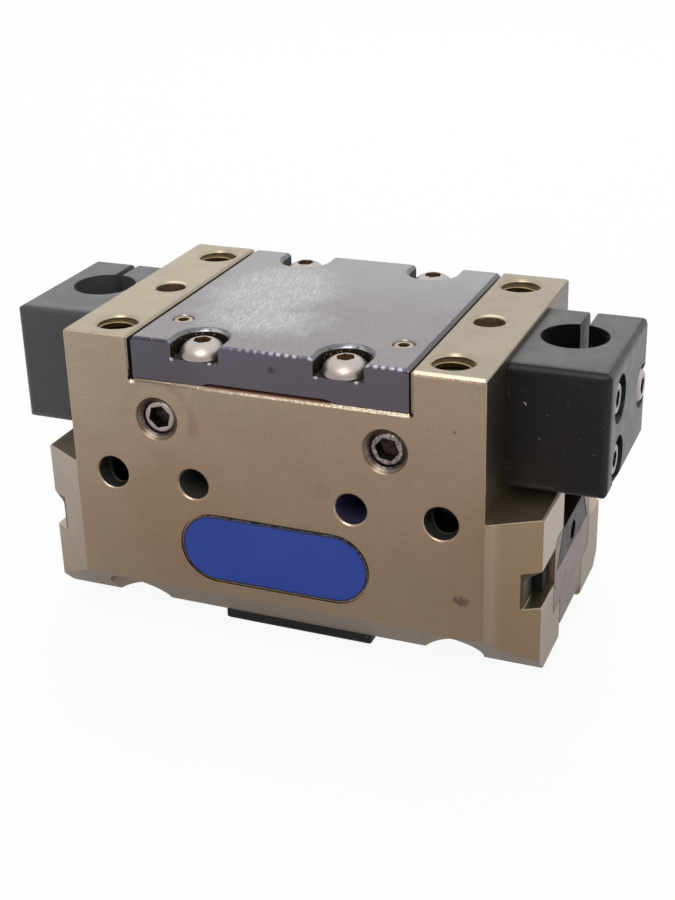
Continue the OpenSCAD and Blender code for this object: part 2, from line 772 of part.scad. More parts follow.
module sensor_bracket() {
    height = bracket_h + 2;
    difference() {
        bracket_block();
        translate([sensor_x, sensor_bore_y, bracket_low_z - 1])
            cylinder(h = height, d = sensor_bore_d);
        translate([slit_x - slit_w / 2, sensor_bore_y, bracket_low_z - 1])
            cube([slit_w, bracket_w, height]);
        for (z = fixing_z) translate([bracket_x, -fixing_y, z]) rotate([0, 90, 0]) {
            translate([0, 0, -bracket_reach - 1])
                cylinder(h = bracket_reach + 2, d = screw_d + 2 * shank_gap);
            translate([0, 0, -fixing_recess]) cylinder(h = fixing_recess + 1, d = fixing_recess_d);
        }
        translate([bracket_x, clamp_y, clamp_z]) rotate([0, 90, 0]) {
            translate([0, 0, -bracket_reach + slit_reach])
                cylinder(h = bracket_reach, d = screw_d + 2 * shank_gap);
            translate([0, 0, -bracket_reach + slit_reach - slit_w / 2 - clamp_bite - 0.5])
                cylinder(h = bracket_reach, d = screw_d);
            translate([0, 0, -clamp_recess]) cylinder(h = clamp_recess + 1, d = clamp_recess_d);
        }
    }
}

module bracket_screws() {
    for (z = fixing_z)
        translate([bracket_x - fixing_recess, -fixing_y, z]) rotate([0, 90, 0])
            button_screw(bracket_reach - fixing_recess + screw_bite);
}

module clamp_screw() {
    length = bracket_reach - clamp_recess - slit_reach + slit_w / 2 + clamp_bite;
    translate([bracket_x - clamp_recess, clamp_y, clamp_z]) rotate([0, 90, 0])
        button_screw(length);
}

// Two strips in one end groove, one on each side of the jaw
module wipers() {
    inner_y = slot_w / 2 + wiper_gap;
    outer_y = housing_y - corner_cut - wiper_setback;
    roof_z = groove_roof_z - groove_bevel;
    slant = 0.8;
    intersection() {
        for (side = [0, 1]) mirror([0, side, 0]) along_x(groove_x, wiper_t) polygon([
            [inner_y, groove_floor_z], [outer_y, groove_floor_z],
            [outer_y + slant, roof_z], [inner_y, roof_z]]);
        along_y(housing_depth) polygon([
            [groove_x, groove_floor_z], [groove_x + wiper_t, groove_floor_z],
            [groove_x + wiper_t, roof_z], [groove_x + groove_round + groove_round, roof_z],
            [groove_x, roof_z - groove_round - groove_round]]);
    }
}

module piston() {
    rod_r = rod_d / 2;
    seal_z = piston_low_z + piston_t / 2;
    seal_half = (piston_seal_d + seal_room) / 2;
    groove_r = bore_d / 2 - seal_gap - piston_seal_d;
    step_r = piston_r - piston_shoulder_in;
    hole_r = piston_screw_d / 2 + shank_gap;
    head_r = screw_head_socket_r + shank_gap;
    head_z = piston_top_z - head_sink - screw_head_socket_h;
    spigot_z = hook_top_z - spigot_h;
    color([0.8, 0.8, 0.82]) rotate_extrude() polygon([
        [hole_r, spigot_z], [spigot_r, spigot_z], [spigot_r, hook_top_z], [rod_r, hook_top_z],
        [rod_r, piston_low_z], [step_r, piston_low_z],
        [step_r, piston_low_z + piston_shoulder], [piston_r, piston_low_z + piston_shoulder],
        [piston_r, seal_z - seal_half], [groove_r, seal_z - seal_half],
        [groove_r, seal_z + seal_half], [piston_r, seal_z + seal_half],
        [piston_r, piston_top_z - piston_shoulder], [step_r, piston_top_z - piston_shoulder],
        [step_r, piston_top_z], [head_r, piston_top_z], [head_r, head_z], [hole_r, head_z]]);
}

module piston_seal() {
    centre_r = bore_d / 2 - seal_gap - piston_seal_d / 2;
    color([0.1, 0.1, 0.1]) translate([0, 0, piston_low_z + piston_t / 2])
        ring(centre_r, piston_seal_d);
}

module piston_screw() {
    seat_z = piston_top_z - head_sink - screw_head_socket_h;
    tip_z = hook_low_z + 1.5;
    color([0.3, 0.3, 0.3]) difference() {
        union() {
            translate([0, 0, seat_z]) cylinder(h = screw_head_socket_h, r = screw_head_socket_r);
            translate([0, 0, tip_z])
                cylinder(h = seat_z - tip_z + eps, d = piston_screw_d - 2 * thread_gap);
        }
        translate([0, 0, seat_z + screw_head_socket_h]) hex_socket(socket_piston, 2.2);
    }
}

// A slab that follows the hook's slope, between two distances from the core's face
module sloped_slab(near, far, depth, low_z, top_z) {
    along_y(depth) polygon([
        [hook_x(low_z) + near, low_z], [hook_x(low_z) + far, low_z],
        [hook_x(top_z) + far, top_z], [hook_x(top_z) + near, top_z]]);
}

module wedge_hook() {
    color([0.45, 0.45, 0.47]) difference() {
        union() {
            along_y(hook_depth) polygon([
                [-hook_x(hook_low_z), hook_low_z], [hook_x(hook_low_z), hook_low_z],
                [hook_x(hook_top_z), hook_top_z], [-hook_x(hook_top_z), hook_top_z]]);
            left_and_right() {
                sloped_slab(-0.5, rail_neck + 0.5, rail_neck_w, hook_low_z, hook_top_z);
                sloped_slab(rail_neck, rail_neck + rail_head, rail_head_w,
                    hook_low_z, hook_top_z);
            }
        }
        translate([0, 0, hook_top_z - spigot_h]) cylinder(h = spigot_h + 1, r = spigot_r + 0.02);
        translate([0, 0, hook_low_z + 1]) cylinder(h = hook_top_z - hook_low_z, d = piston_screw_d);
    }
}

// Cross-section of a jaw: neck, flanges and rounded upper corners
module jaw_outline() {
    r = slot_round + 0.1;
    right = concat(
        [[jaw_neck_y - edge_break, jaw_low_z], [jaw_neck_y, jaw_low_z + edge_break],
            [jaw_neck_y, flange_z], [flange_y, flange_z]],
        arc(flange_y - r, jaw_top_z - r, r, 0, 90));
    polygon(concat(right, mirrored(right)));
}

module dovetail_outline(floor_half, low_z, top_z) {
    top_half = floor_half - (top_z - low_z) * dovetail_slope;
    polygon([[-floor_half, low_z], [floor_half, low_z], [top_half, top_z], [-top_half, top_z]]);
}

module jaw() {
    rail_z = [jaw_low_z - 1, jaw_top_z + 1];
    difference() {
        intersection() {
            along_x(0, housing_x) jaw_outline();
            along_y(slot_w) polygon([
                [hook_x(rail_z[0]) + hook_face_gap, rail_z[0]], [housing_x + 1, rail_z[0]],
                [housing_x + 1, rail_z[1]], [hook_x(rail_z[1]) + hook_face_gap, rail_z[1]]]);
        }
        sloped_slab(-1, rail_neck + 0.5, rail_neck_w + 2 * rail_gap, rail_z[0], rail_z[1]);
        sloped_slab(rail_neck - rail_gap, rail_neck + rail_head + rail_gap,
            rail_head_w + 2 * rail_gap, rail_z[0], rail_z[1]);
        along_x(housing_x - dovetail_len, dovetail_len + 1)
            dovetail_outline(dovetail_w / 2, dovetail_z, jaw_top_z + 1);
        for (x = [finger_x, finger_x - finger_pitch]) translate([x, 0, jaw_low_z]) {
            translate([0, 0, -1]) cylinder(h = finger_thread_depth + 1, d = finger_core_d);
            mirror([0, 0, 1]) mouth(finger_core_d + 0.6, finger_core_d);
        }
    }
}

module jaw_cam() {
    difference() {
        along_x(housing_x - cam_len, cam_len)
            dovetail_outline(dovetail_w / 2 - cam_gap, dovetail_z, cam_top_z);
        translate([housing_x - cam_len - 1, 0, cam_screw_z]) rotate([0, 90, 0])
            cylinder(h = cam_len + 2, d = cam_screw_d);
    }
}

module cam_screw() {
    translate([housing_x - cam_screw_setback, 0, cam_screw_z]) rotate([0, 90, 0])
        set_screw(cam_screw_d - 2 * thread_gap, dovetail_len - cam_screw_setback, socket_small);
}

module sensor_bracket_left() {
    color([0.15, 0.15, 0.16]) mirror([1, 0, 0]) sensor_bracket();
}

module sensor_bracket_right() {
    color([0.15, 0.15, 0.16]) sensor_bracket();
}

module bracket_screws_left() {
    color([0.75, 0.74, 0.7]) mirror([1, 0, 0]) bracket_screws();
}

module bracket_screws_right() {
    color([0.75, 0.74, 0.7]) bracket_screws();
}

module clamp_screw_left() {
    color([0.75, 0.74, 0.7]) mirror([1, 0, 0]) clamp_screw();
}

module clamp_screw_right() {
    color([0.75, 0.74, 0.7]) clamp_screw();
}

module wipers_left() {
    color([0.08, 0.08, 0.08]) mirror([1, 0, 0]) wipers();
}

module wipers_right() {
    color([0.08, 0.08, 0.08]) wipers();
}

module jaw_left() {
    color([0.55, 0.52, 0.51]) mirror([1, 0, 0]) jaw();
}

module jaw_right() {
    color([0.55, 0.52, 0.51]) jaw();
}

module jaw_cam_left() {
    color([0.39, 0.37, 0.36]) mirror([1, 0, 0]) jaw_cam();
}

module jaw_cam_right() {
    color([0.39, 0.37, 0.36]) jaw_cam();
}

module cam_screw_left() {
    color([0.3, 0.3, 0.3]) mirror([1, 0, 0]) cam_screw();
}

module cam_screw_right() {
    color([0.3, 0.3, 0.3]) cam_screw();
}

housing();
cylinder_cover();
cover_seal();
cover_screws();
cover_port_plugs();
front_port_plugs();
name_plate();
rod_seal();
dust_cover();
dust_cover_screws();
sensor_bracket_left();
sensor_bracket_right();
bracket_screws_left();
bracket_screws_right();
clamp_screw_left();
clamp_screw_right();
wipers_left();
wipers_right();
piston();
piston_seal();
piston_screw();
wedge_hook();
jaw_left();
jaw_right();
jaw_cam_left();
jaw_cam_right();
cam_screw_left();
cam_screw_right();
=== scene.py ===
"""Dresses a packed pneumatic two finger gripper with finished pieces, materials, floor and light."""

import functools
import math
from contextlib import contextmanager

import bpy
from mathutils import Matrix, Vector


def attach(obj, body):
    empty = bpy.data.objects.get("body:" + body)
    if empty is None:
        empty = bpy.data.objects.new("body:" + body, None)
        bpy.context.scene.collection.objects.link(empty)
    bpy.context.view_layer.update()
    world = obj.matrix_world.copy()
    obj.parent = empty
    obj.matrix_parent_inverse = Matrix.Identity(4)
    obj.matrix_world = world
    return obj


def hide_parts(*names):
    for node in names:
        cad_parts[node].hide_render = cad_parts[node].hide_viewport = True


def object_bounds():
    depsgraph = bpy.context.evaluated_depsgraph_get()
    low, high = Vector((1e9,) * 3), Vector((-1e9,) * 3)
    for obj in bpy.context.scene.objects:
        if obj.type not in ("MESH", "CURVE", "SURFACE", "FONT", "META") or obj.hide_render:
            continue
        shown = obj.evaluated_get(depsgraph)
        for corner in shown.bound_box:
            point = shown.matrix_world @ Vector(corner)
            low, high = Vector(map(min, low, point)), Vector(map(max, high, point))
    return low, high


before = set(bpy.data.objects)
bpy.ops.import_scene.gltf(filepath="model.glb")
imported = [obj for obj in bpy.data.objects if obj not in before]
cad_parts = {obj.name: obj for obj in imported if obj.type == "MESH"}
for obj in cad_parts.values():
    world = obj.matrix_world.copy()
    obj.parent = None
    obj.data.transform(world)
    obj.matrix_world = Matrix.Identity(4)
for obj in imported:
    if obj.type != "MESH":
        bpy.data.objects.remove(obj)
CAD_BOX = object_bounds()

bl_info = {
    "name": "Parallel gripper dressing",
    "version": (1, 0, 0),
    "blender": (4, 5, 0),
    "location": "View3D > Sidebar > Gripper",
    "description": "Finished pieces, materials, floor, lamps and camera for a parallel gripper",
    "category": "Object",
}

MM = 0.001
SIDES = (("left", -1), ("right", 1))
OPEN = (None, None)

# Places on the gripper, in millimetres
FRONT = round(CAD_BOX[0][1] / MM, 2)
BOLT_X, BOLT_Y = 24.65, 16.0
SCREW_X, SCREW_Y = 10.45, 17.95
POCKET_Y, POCKET_EDGE_Y, POCKET_FLOOR = 18.15, 20.4, -2.62
PORT_X, PORT_DROP = 16.85, 11.9
AXIAL_PORT = (16.4, -11.9)
COVER_SCREW_SEAT, PORT_SEAT, AXIAL_SEAT = -2.6, -20.1, -0.22
FIXING_Y, FIXING_HEIGHTS = -6.0, (-6.65, -15.45)
CLAMP_Y, CLAMP_HEIGHT = 8.5, -10.4
FIXING_SEAT, CLAMP_SEAT = 41.9, 42.4
BOLT_PLACES = [(BOLT_X * x, BOLT_Y * y) for x in (-1, 1) for y in (-1, 1)]


def srgb(red, green, blue):
    """The linear colour of a paint chart value from 0 to 255."""
    def linear(step):
        share = step / 255
        return share / 12.92 if share <= 0.04045 else ((share + 0.055) / 1.055) ** 2.4
    return (linear(red), linear(green), linear(blue), 1.0)


def length(name, description, millimetres, most):
    return bpy.props.FloatProperty(
        name=name, description=description, default=millimetres * MM,
        min=0, max=most * MM, unit="LENGTH", precision=5)


def colour(name, description, red, green, blue):
    return bpy.props.FloatVectorProperty(
        name=name, description=description, default=srgb(red, green, blue),
        size=4, min=0, max=1, subtype="COLOR")


class GripperSizes(bpy.types.PropertyGroup):
    """Sizes of the details that the finished pieces add."""

    edge: length("Edge rounding", "Rounding of machined edges", 0.07, 1)
    moulded_edge: length("Moulded edge rounding", "Rounding of moulded edges", 0.12, 1)
    thread_pitch: length("Thread pitch", "Pitch of the robot-side threads", 1.0, 3)
    thread_root: length("Thread root radius", "Outer radius of the robot-side threads", 2.8, 5)
    thread_crest: length("Thread crest radius", "Inner radius of the robot-side threads", 2.54, 5)
    thread_depth: length("Thread depth", "Depth to which those threads are cut", 11.0, 30)
    countersink: length("Countersink", "Depth of the countersinks over those threads", 0.5, 2)
    pocket: length("Screw pocket", "Radius of the pockets round the cover screws", 3.6, 5)
    cover_head: length("Cover head radius", "Radius of the cover screws' heads", 3.2, 5)
    cover_head_high: length("Cover head height", "Height of the cover screws' heads", 2.2, 4)
    side_head: length("Side head radius", "Radius of the bracket screws' heads", 2.8, 5)
    side_head_high: length("Side head height", "Height of the bracket screws' heads", 2.15, 4)
    side_flat: length("Bracket head flat", "Radius of the flat on top of a bracket screw's head", 1.95, 3)
    head_flat: length("Button head flat", "Radius of the flat on top of a head", 1.42, 3)
    head_socket: length("Button socket", "Width across the flats of a head's socket", 2.3, 3)
    plug_radius: length("Port plug radius", "Radius of the front port plugs", 2.48, 5)
    plug_socket: length("Port plug socket", "Width across the flats of its socket", 3.0, 4)
    pin_radius: length("Axial plug radius", "Radius of the cover's plugs", 1.48, 3)
    pin_socket: length("Axial plug socket", "Width across the flats of its socket", 1.5, 3)


class GripperColours(bpy.types.PropertyGroup):
    """Colours of the finishes."""

    housing: colour("Housing", "Bronze hard anodising", 190, 176, 153)
    worn: colour("Worn edge", "Bare metal on rubbed edges", 236, 222, 196)
    cover: colour("Cover", "Blackened steel of the cylinder cover", 149, 142, 143)
    plastic: colour("Bracket", "Black plastic of the sensor brackets", 9, 9, 9)
    dust_plastic: colour("Dust cover", "Black plastic of the dust cover", 34, 34, 33)
    rubber: colour("Seals", "Black nitrile rubber", 20, 20, 20)
    plate: colour("Name plate", "Blue lacquer of the name plate", 17, 55, 146)
    stainless: colour("Screws", "Stainless steel of the screws", 200, 192, 187)
    plug: colour("Axial plugs", "Tarnished metal of the cover's plugs", 200, 180, 160)
    rust: colour("Rust", "Rust and old grease in the sockets", 92, 62, 38)
    socket: colour("Dark sockets", "Greasy dark steel in the side screws' sockets", 70, 60, 56)
    brass: colour("Thread", "Golden metal of the cut threads", 190, 172, 132)
    jaw: colour("Jaws", "Ground steel of the base jaws", 160, 140, 126)
    cam: colour("Cams", "Dark steel of the switching cams", 72, 61, 54)
    aluminium: colour("Piston", "Bare aluminium of the piston", 196, 198, 200)


# ---------------------------------------------------------------- modelling

def only(*pieces):
    """Select these objects and no others."""
    bpy.ops.object.select_all(action="DESELECT")
    for piece in pieces:
        piece.select_set(True)
    bpy.context.view_layer.objects.active = pieces[0]


def new_shape(primitive_add, **settings):
    """Add a primitive, which is then the only object selected."""
    bpy.ops.object.select_all(action="DESELECT")
    primitive_add(**settings)
    return bpy.context.view_layer.objects.active


def link(name, data):
    """A new object with that data in the scene."""
    holder = bpy.data.objects.new(name, data)
    bpy.context.scene.collection.objects.link(holder)
    return holder


@contextmanager
def editing(piece, kind="VERT", action="SELECT"):
    """Edit mode on one piece, with all or nothing selected in it."""
    only(piece)
    bpy.ops.object.mode_set(mode="EDIT")
    bpy.ops.mesh.select_mode(type=kind)
    bpy.ops.mesh.select_all(action=action)
    yield piece
    bpy.ops.object.mode_set(mode="OBJECT")


def pick(elements, wanted):
    """Select the vertices or faces that pass the test, while in edit mode."""
    bpy.ops.object.mode_set(mode="OBJECT")
    for element in elements:
        element.select = bool(wanted(element))
    bpy.ops.object.mode_set(mode="EDIT")


def modifier(piece, kind, **settings):
    """Add a modifier, set it and apply it."""
    only(piece)
    bpy.ops.object.modifier_add(type=kind)
    added = piece.modifiers[-1]
    for name, value in settings.items():
        setattr(added, name, value)
    bpy.ops.object.modifier_apply(modifier=added.name)


def settle(piece):
    """Put the object at the origin, unturned and unscaled, with its place in its mesh."""
    only(piece)
    bpy.ops.object.transform_apply(location=True, rotation=True, scale=True)


def round_edges(piece, width, angle=28):
    modifier(piece, "BEVEL", width=width, segments=2, limit_method="ANGLE",
             angle_limit=math.radians(angle), use_clamp_overlap=False, miter_outer="MITER_ARC")


def smooth(piece, angle=32):
    only(piece)
    bpy.ops.object.shade_smooth_by_angle(angle=math.radians(angle))
    modifier(piece, "WEIGHTED_NORMAL", keep_sharp=True, weight=60)


def cut(piece, tool):
    """Take a tool's shape out of a piece, and the tool away."""
    modifier(piece, "BOOLEAN", object=tool, operation="DIFFERENCE", solver="EXACT")
    bpy.data.objects.remove(tool)


def join(name, pieces):
    only(*pieces)
    if len(pieces) > 1:
        bpy.ops.object.join()
    joined = bpy.context.view_layer.objects.active
    joined.name = joined.data.name = name
    return joined


def duplicate(piece, turn=(0, 0, 0), move=(0, 0, 0)):
    """A turned and moved copy with its own mesh, lengths in millimetres."""
    only(piece)
    bpy.ops.object.duplicate()
    copy = bpy.context.view_layer.objects.active
    copy.rotation_euler = [math.radians(angle) for angle in turn]
    copy.location = Vector(move) * MM
    settle(copy)
    return copy


def scatter(name, master, places):
    """Copies of a master piece at each turn and place, joined to one piece."""
    copies = [duplicate(master, turn, move) for turn, move in places]
    bpy.data.objects.remove(master)
    return join(name, copies)


def cut_at(piece, bit, places):
    """Cut a piece with copies of a bit at each turn and place."""
    for turn, move in places:
        cut(piece, duplicate(bit, turn, move))
    bpy.data.objects.remove(bit)


def turned(name, profile, steps=48, pitch=0.0, turns=1):
    """A line through radius and height points, drawn by extruding, then spun round Z."""
    piece = new_shape(bpy.ops.mesh.primitive_plane_add, size=MM)
    piece.name = name
    points = [Vector((radius, 0, height)) * MM for radius, height in profile]
    with editing(piece):
        bpy.ops.mesh.merge(type="CENTER")
        bpy.ops.transform.translate(value=points[0])
        for start, end in zip(points, points[1:]):
            bpy.ops.mesh.extrude_vertices_move(TRANSFORM_OT_translate={"value": end - start})
    modifier(piece, "SCREW", axis="Z", angle=math.tau, steps=steps, render_steps=steps,
             screw_offset=pitch, iterations=turns, use_merge_vertices=pitch == 0,
             merge_threshold=1e-6)
    with editing(piece):
        bpy.ops.mesh.remove_doubles(threshold=1e-6)
        bpy.ops.mesh.normals_make_consistent(inside=False)
    return piece


def chamfer_bit(along, start, end, corner, width):
    """A bar that takes a chamfer off an edge along X or Y, the corner given by its other two places."""
    away = math.copysign(1, corner[0])
    thick = 2
    reach = thick / 2 / math.sqrt(2)
    piece = new_shape(bpy.ops.mesh.primitive_cube_add, size=1)
    middle = [corner[0] - away * width / 2 + away * reach, corner[1] - width / 2 + reach]
    if along == "X":
        piece.scale = Vector((end - start, thick, thick)) * MM
        piece.location = Vector(((start + end) / 2, *middle)) * MM
        piece.rotation_euler.x = math.radians(45)
    else:
        piece.scale = Vector((thick, end - start, thick)) * MM
        piece.location = Vector((middle[0], (start + end) / 2, middle[1])) * MM
        piece.rotation_euler.y = math.radians(45)
    settle(piece)
    return piece


def hex_bit(across, top, depth):
    """A hexagonal bit with a low drilled tip, to cut a socket."""
    high = top + MM
    low = top - depth
    bit = new_shape(bpy.ops.mesh.primitive_cylinder_add, vertices=6, depth=high - low,
                    radius=across / 2 / math.cos(math.pi / 6), location=(0, 0, (high + low) / 2))
    settle(bit)
    with editing(bit, "FACE", "DESELECT"):
        pick(bit.data.polygons, lambda face: face.normal.z < -0.9)
        bpy.ops.mesh.inset(thickness=across * 0.08)
        bpy.ops.mesh.extrude_region_move(TRANSFORM_OT_translate={"value": (0, 0, -across * 0.14)})
        bpy.ops.transform.resize(value=(0.2, 0.2, 1))
    return bit


def line_socket(piece, finishes, across, low, high):
    """Two finishes for a screw, the second on the faces in its hexagon socket."""
    slack = 0.02
    reach = across / 2 / math.cos(math.pi / 6) / MM + slack
    for name in finishes:
        piece.data.materials.append(shared_finish(name))
    for face in piece.data.polygons:
        centre = face.center / MM
        face.material_index = int(centre.xy.length < reach and low < centre.z < high)


def node_copy(node, name):
    """A merged copy of a CAD node's mesh, flat faces made whole."""
    copy = link(name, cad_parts[node].data.copy())
    copy.data.name = name
    copy.data.materials.clear()
    only(copy)
    bpy.ops.mesh.customdata_custom_splitnormals_clear()
    with editing(copy):
        bpy.ops.mesh.remove_doubles(threshold=2e-6)
        bpy.ops.mesh.dissolve_limited(angle_limit=math.radians(0.4))
    return copy


def finish_piece(piece, body, finishes=(), nodes=()):
    """Finishes that it hasn't yet, body, slot and the CAD nodes that the piece stands for."""
    for name in finishes:
        piece.data.materials.append(shared_finish(name))
    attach(piece, body)
    if nodes:
        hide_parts(*nodes)


def dressed_copy(node, name, finish, edge, angle=28, body="housing"):
    """A CAD node's copy with rounded edges and a finish, in the node's place."""
    piece = node_copy(node, name)
    round_edges(piece, edge, angle)
    smooth(piece)
    finish_piece(piece, body, [finish], [node])


# ---------------------------------------------------------------- materials

class Nodes:
    """Adds nodes to a tree and feeds their sockets."""

    def __init__(self, tree):
        self.tree = tree

    def feed(self, socket, value):
        """Link another node's output to the socket, or set the socket's own value."""
        if isinstance(value, bpy.types.NodeSocket):
            self.tree.links.new(value, socket)
        else:
            socket.default_value = value

    def add(self, kind, inputs=None, **settings):
        """A node of a kind with its settings, and its inputs by name or number."""
        node = self.tree.nodes.new("ShaderNode" + kind)
        for name, value in settings.items():
            setattr(node, name, value)
        for name, value in (inputs or {}).items():
            self.feed(node.inputs[name], value)
        return node

    def math(self, operation, first, second=0.0):
        return self.add("Math", {0: first, 1: second}, operation=operation).outputs[0]

    def measure(self, operation, first, second=None):
        """A number from one or two vectors, such as a distance."""
        inputs = {0: first} if second is None else {0: first, 1: second}
        return self.add("VectorMath", inputs, operation=operation).outputs["Value"]

    def part(self, axis, vector):
        return self.add("SeparateXYZ", {0: vector}).outputs["XYZ".index(axis)]

    def band(self, value, low, high):
        """0 below low and 1 above high; the other way round where low is the larger."""
        rising = low < high
        inputs = {"Value": value, "From Min": min(low, high), "From Max": max(low, high),
                  "To Min": 0 if rising else 1, "To Max": 1 if rising else 0}
        return self.add("MapRange", inputs, interpolation_type="SMOOTHSTEP").outputs["Result"]

    def mix(self, share, first, second, **settings):
        """One colour laid over another by a share from 0 to 1."""
        inputs = {"Factor": share, "A": first, "B": second}
        return self.add("Mix", inputs, data_type="RGBA", **settings).outputs["Result"]


class Finish(Nodes):
    """A procedural material whose lengths are millimetres on the object."""

    def __init__(self, name, base, roughness, metallic=0.0, specular=0.5, coat=0.0):
        self.material = bpy.data.materials.new(name)
        self.material.use_nodes = True
        super().__init__(self.material.node_tree)
        self.shader = self.tree.nodes["Principled BSDF"]
        self.shader.inputs["Specular IOR Level"].default_value = specular
        self.shader.inputs["Coat Weight"].default_value = coat
        self.colour = tuple(base)
        self.roughness = roughness
        self.metallic = metallic
        self.height = None
        self.place = self.mapped(self.add("TexCoord").outputs["Object"], scale=(1000, 1000, 1000))
        self.twin = self.add("VectorMath", {0: self.place}, operation="ABSOLUTE").outputs["Vector"]
        self.normal = self.add("NewGeometry").outputs["Normal"]

    def mapped(self, vector, scale=(1, 1, 1), turn=(0, 0, 0), move=(0, 0, 0)):
        inputs = {"Vector": vector, "Scale": scale, "Location": move,
                  "Rotation": [math.radians(angle) for angle in turn]}
        return self.add("Mapping", inputs).outputs["Vector"]

    # Masks: numbers from 0 to 1 that say where a change shows

    def all_of(self, *masks):
        return functools.reduce(lambda one, other: self.math("MULTIPLY", one, other), masks)

    def any_of(self, *masks):
        return functools.reduce(lambda one, other: self.math("MAXIMUM", one, other), masks)

    def beyond(self, mask):
        return self.math("SUBTRACT", 1.0, mask)

    def along(self, axis):
        return self.part(axis, self.place)

    def past(self, axis, low, high):
        """A ramp along an axis, 0 at low and 1 at high."""
        return self.band(self.along(axis), low, high)

    def facing(self, axis, sign=1, low=0.5, high=0.9):
        """1 on faces whose normal points along the axis."""
        part = self.part(axis, self.normal)
        return self.band(self.math("MULTIPLY", part, float(sign)), low, high)

    def noise(self, size, detail, stretch=(1, 1, 1), turn=(0, 0, 0), seed=0.0, rough=0.5):
        """Noise with features about that size, longer along an axis with a larger stretch."""
        place = self.mapped(self.place, turn=turn) if any(turn) else self.place
        inputs = {"Vector": self.mapped(place, [1 / (size * share) for share in stretch],
                                        move=(seed, seed * 0.7, -seed)),
                  "Scale": 1.0, "Detail": detail, "Roughness": rough}
        return self.add("TexNoise", inputs).outputs["Fac"]

    def patches(self, size, detail, low, high, **how):
        """Noise of that size, cut off to patches between low and high."""
        return self.band(self.noise(size, detail, **how), low, high)

    def specks(self, spacing, size, share, seed):
        """Small dots, one to a cell, of which only a share shows."""
        place = self.mapped(self.place, [1 / spacing] * 3, move=(seed, seed, seed))
        cells = self.add("TexVoronoi", {"Vector": place, "Scale": 1.0}).outputs
        near = self.band(cells["Distance"], size / spacing, size / spacing * 0.5)
        return self.all_of(near, self.band(self.part("X", cells["Color"]), share + 0.01, share))

    def spot(self, centre, radius, soft, ragged=0.0, stretch=(1, 1, 1), twin=False):
        """A round mark at a place, 1 inside, with a soft, ragged rim; twin, at all its mirror places."""
        place = self.mapped(self.twin if twin else self.place, [1 / share for share in stretch],
                            move=[-c / share for c, share in zip(centre, stretch)])
        far = self.measure("LENGTH", place)
        if ragged:
            wobble = self.math("SUBTRACT", self.noise(radius * 0.5, 3.0, seed=radius), 0.5)
            far = self.math("ADD", far, self.math("MULTIPLY", wobble, ragged * 2))
        return self.band(far, radius + soft / 2, max(radius - soft / 2, 0.0))

    def bore(self, axis, centre, radius, soft=0.06):
        """1 within all four mirror twins of a long round bore along an axis."""
        stretch = [10000 if name == axis else 1 for name in "XYZ"]
        return self.spot(centre, radius, soft, stretch=stretch, twin=True)

    def box(self, x=OPEN, y=OPEN, z=OPEN, soft=0.1, mirrored=False):
        """1 within a box, with None where it is open; mirrored, also in its left-hand twin."""
        masks = []
        for axis, (least, most) in zip("XYZ", (x, y, z)):
            place = self.along(axis)
            if mirrored and axis == "X":
                place = self.math("ABSOLUTE", place)
            if least is not None:
                masks.append(self.band(place, least - soft, least + soft))
            if most is not None:
                masks.append(self.band(place, most + soft, most - soft))
        return self.all_of(*masks)

    def edges(self, radius, low=0.03, high=0.2):
        """1 on edges that a rounding of that radius would reach."""
        bevel = self.add("Bevel", {"Radius": radius * MM}, samples=6).outputs["Normal"]
        return self.band(self.measure("DOT_PRODUCT", bevel, self.normal), 1 - low, 1 - high)

    # Changes to the finish

    def paint(self, base, strength, *masks):
        """Lay a colour, linear or as three steps to 255, over the finish where the masks meet."""
        mask = self.all_of(*masks)
        if strength != 1:
            mask = self.math("MULTIPLY", mask, strength)
        self.colour = self.mix(mask, self.colour, srgb(*base) if len(base) == 3 else tuple(base))

    def shade(self, share, *masks):
        """Darken or lighten the colour by a factor where the masks meet."""
        self.colour = self.mix(self.all_of(*masks), self.colour, (share, share, share, 1),
                               blend_type="MULTIPLY")

    def rub(self, value, *masks):
        """Change the roughness to a value where the masks meet."""
        self.roughness = self.blend(self.roughness, value, masks)

    def dull(self, value, *masks):
        """Change how metallic the surface is where the masks meet."""
        self.metallic = self.blend(self.metallic, value, masks)

    def blend(self, first, second, masks):
        inputs = {"Factor": self.all_of(*masks), "A": first, "B": second}
        return self.add("Mix", inputs).outputs["Result"]

    def emboss(self, value, millimetres):
        """Add a height of that many millimetres times the value."""
        part = self.math("MULTIPLY", value, millimetres * MM)
        self.height = part if self.height is None else self.math("ADD", self.height, part)

    def done(self):
        inputs = self.shader.inputs
        self.feed(inputs["Base Color"], self.colour)
        self.feed(inputs["Roughness"], self.roughness)
        self.feed(inputs["Metallic"], self.metallic)
        if self.height is not None:
            bump = self.add("Bump", {"Strength": 1.0, "Distance": 1.0, "Height": self.height})
            self.feed(inputs["Normal"], bump.outputs["Normal"])
        return self.material


def milled_skin(made):
    """Milling marks and a fine grain under the anodising."""
    rows = made.noise(0.22, 2.0, stretch=(14, 14, 0.6), seed=3)
    columns = made.noise(0.22, 2.0, stretch=(0.6, 0.6, 12), seed=9)
    grain = made.noise(0.25, 4.0, seed=1, rough=0.7)
    made.paint((178, 166, 144), 0.35, made.patches(9.0, 3.0, 0.42, 0.62, seed=5))
    made.paint((196, 164, 146), 0.3, made.patches(6.0, 4.0, 0.5, 0.72, seed=17))
    made.shade(0.93, made.band(rows, 0.35, 0.7))
    made.shade(0.95, made.band(columns, 0.4, 0.7))
    made.shade(0.92, made.band(grain, 0.45, 0.75))
    made.rub(0.44, made.band(grain, 0.4, 0.7))
    made.emboss(rows, 0.004)
    made.emboss(grain, 0.006)


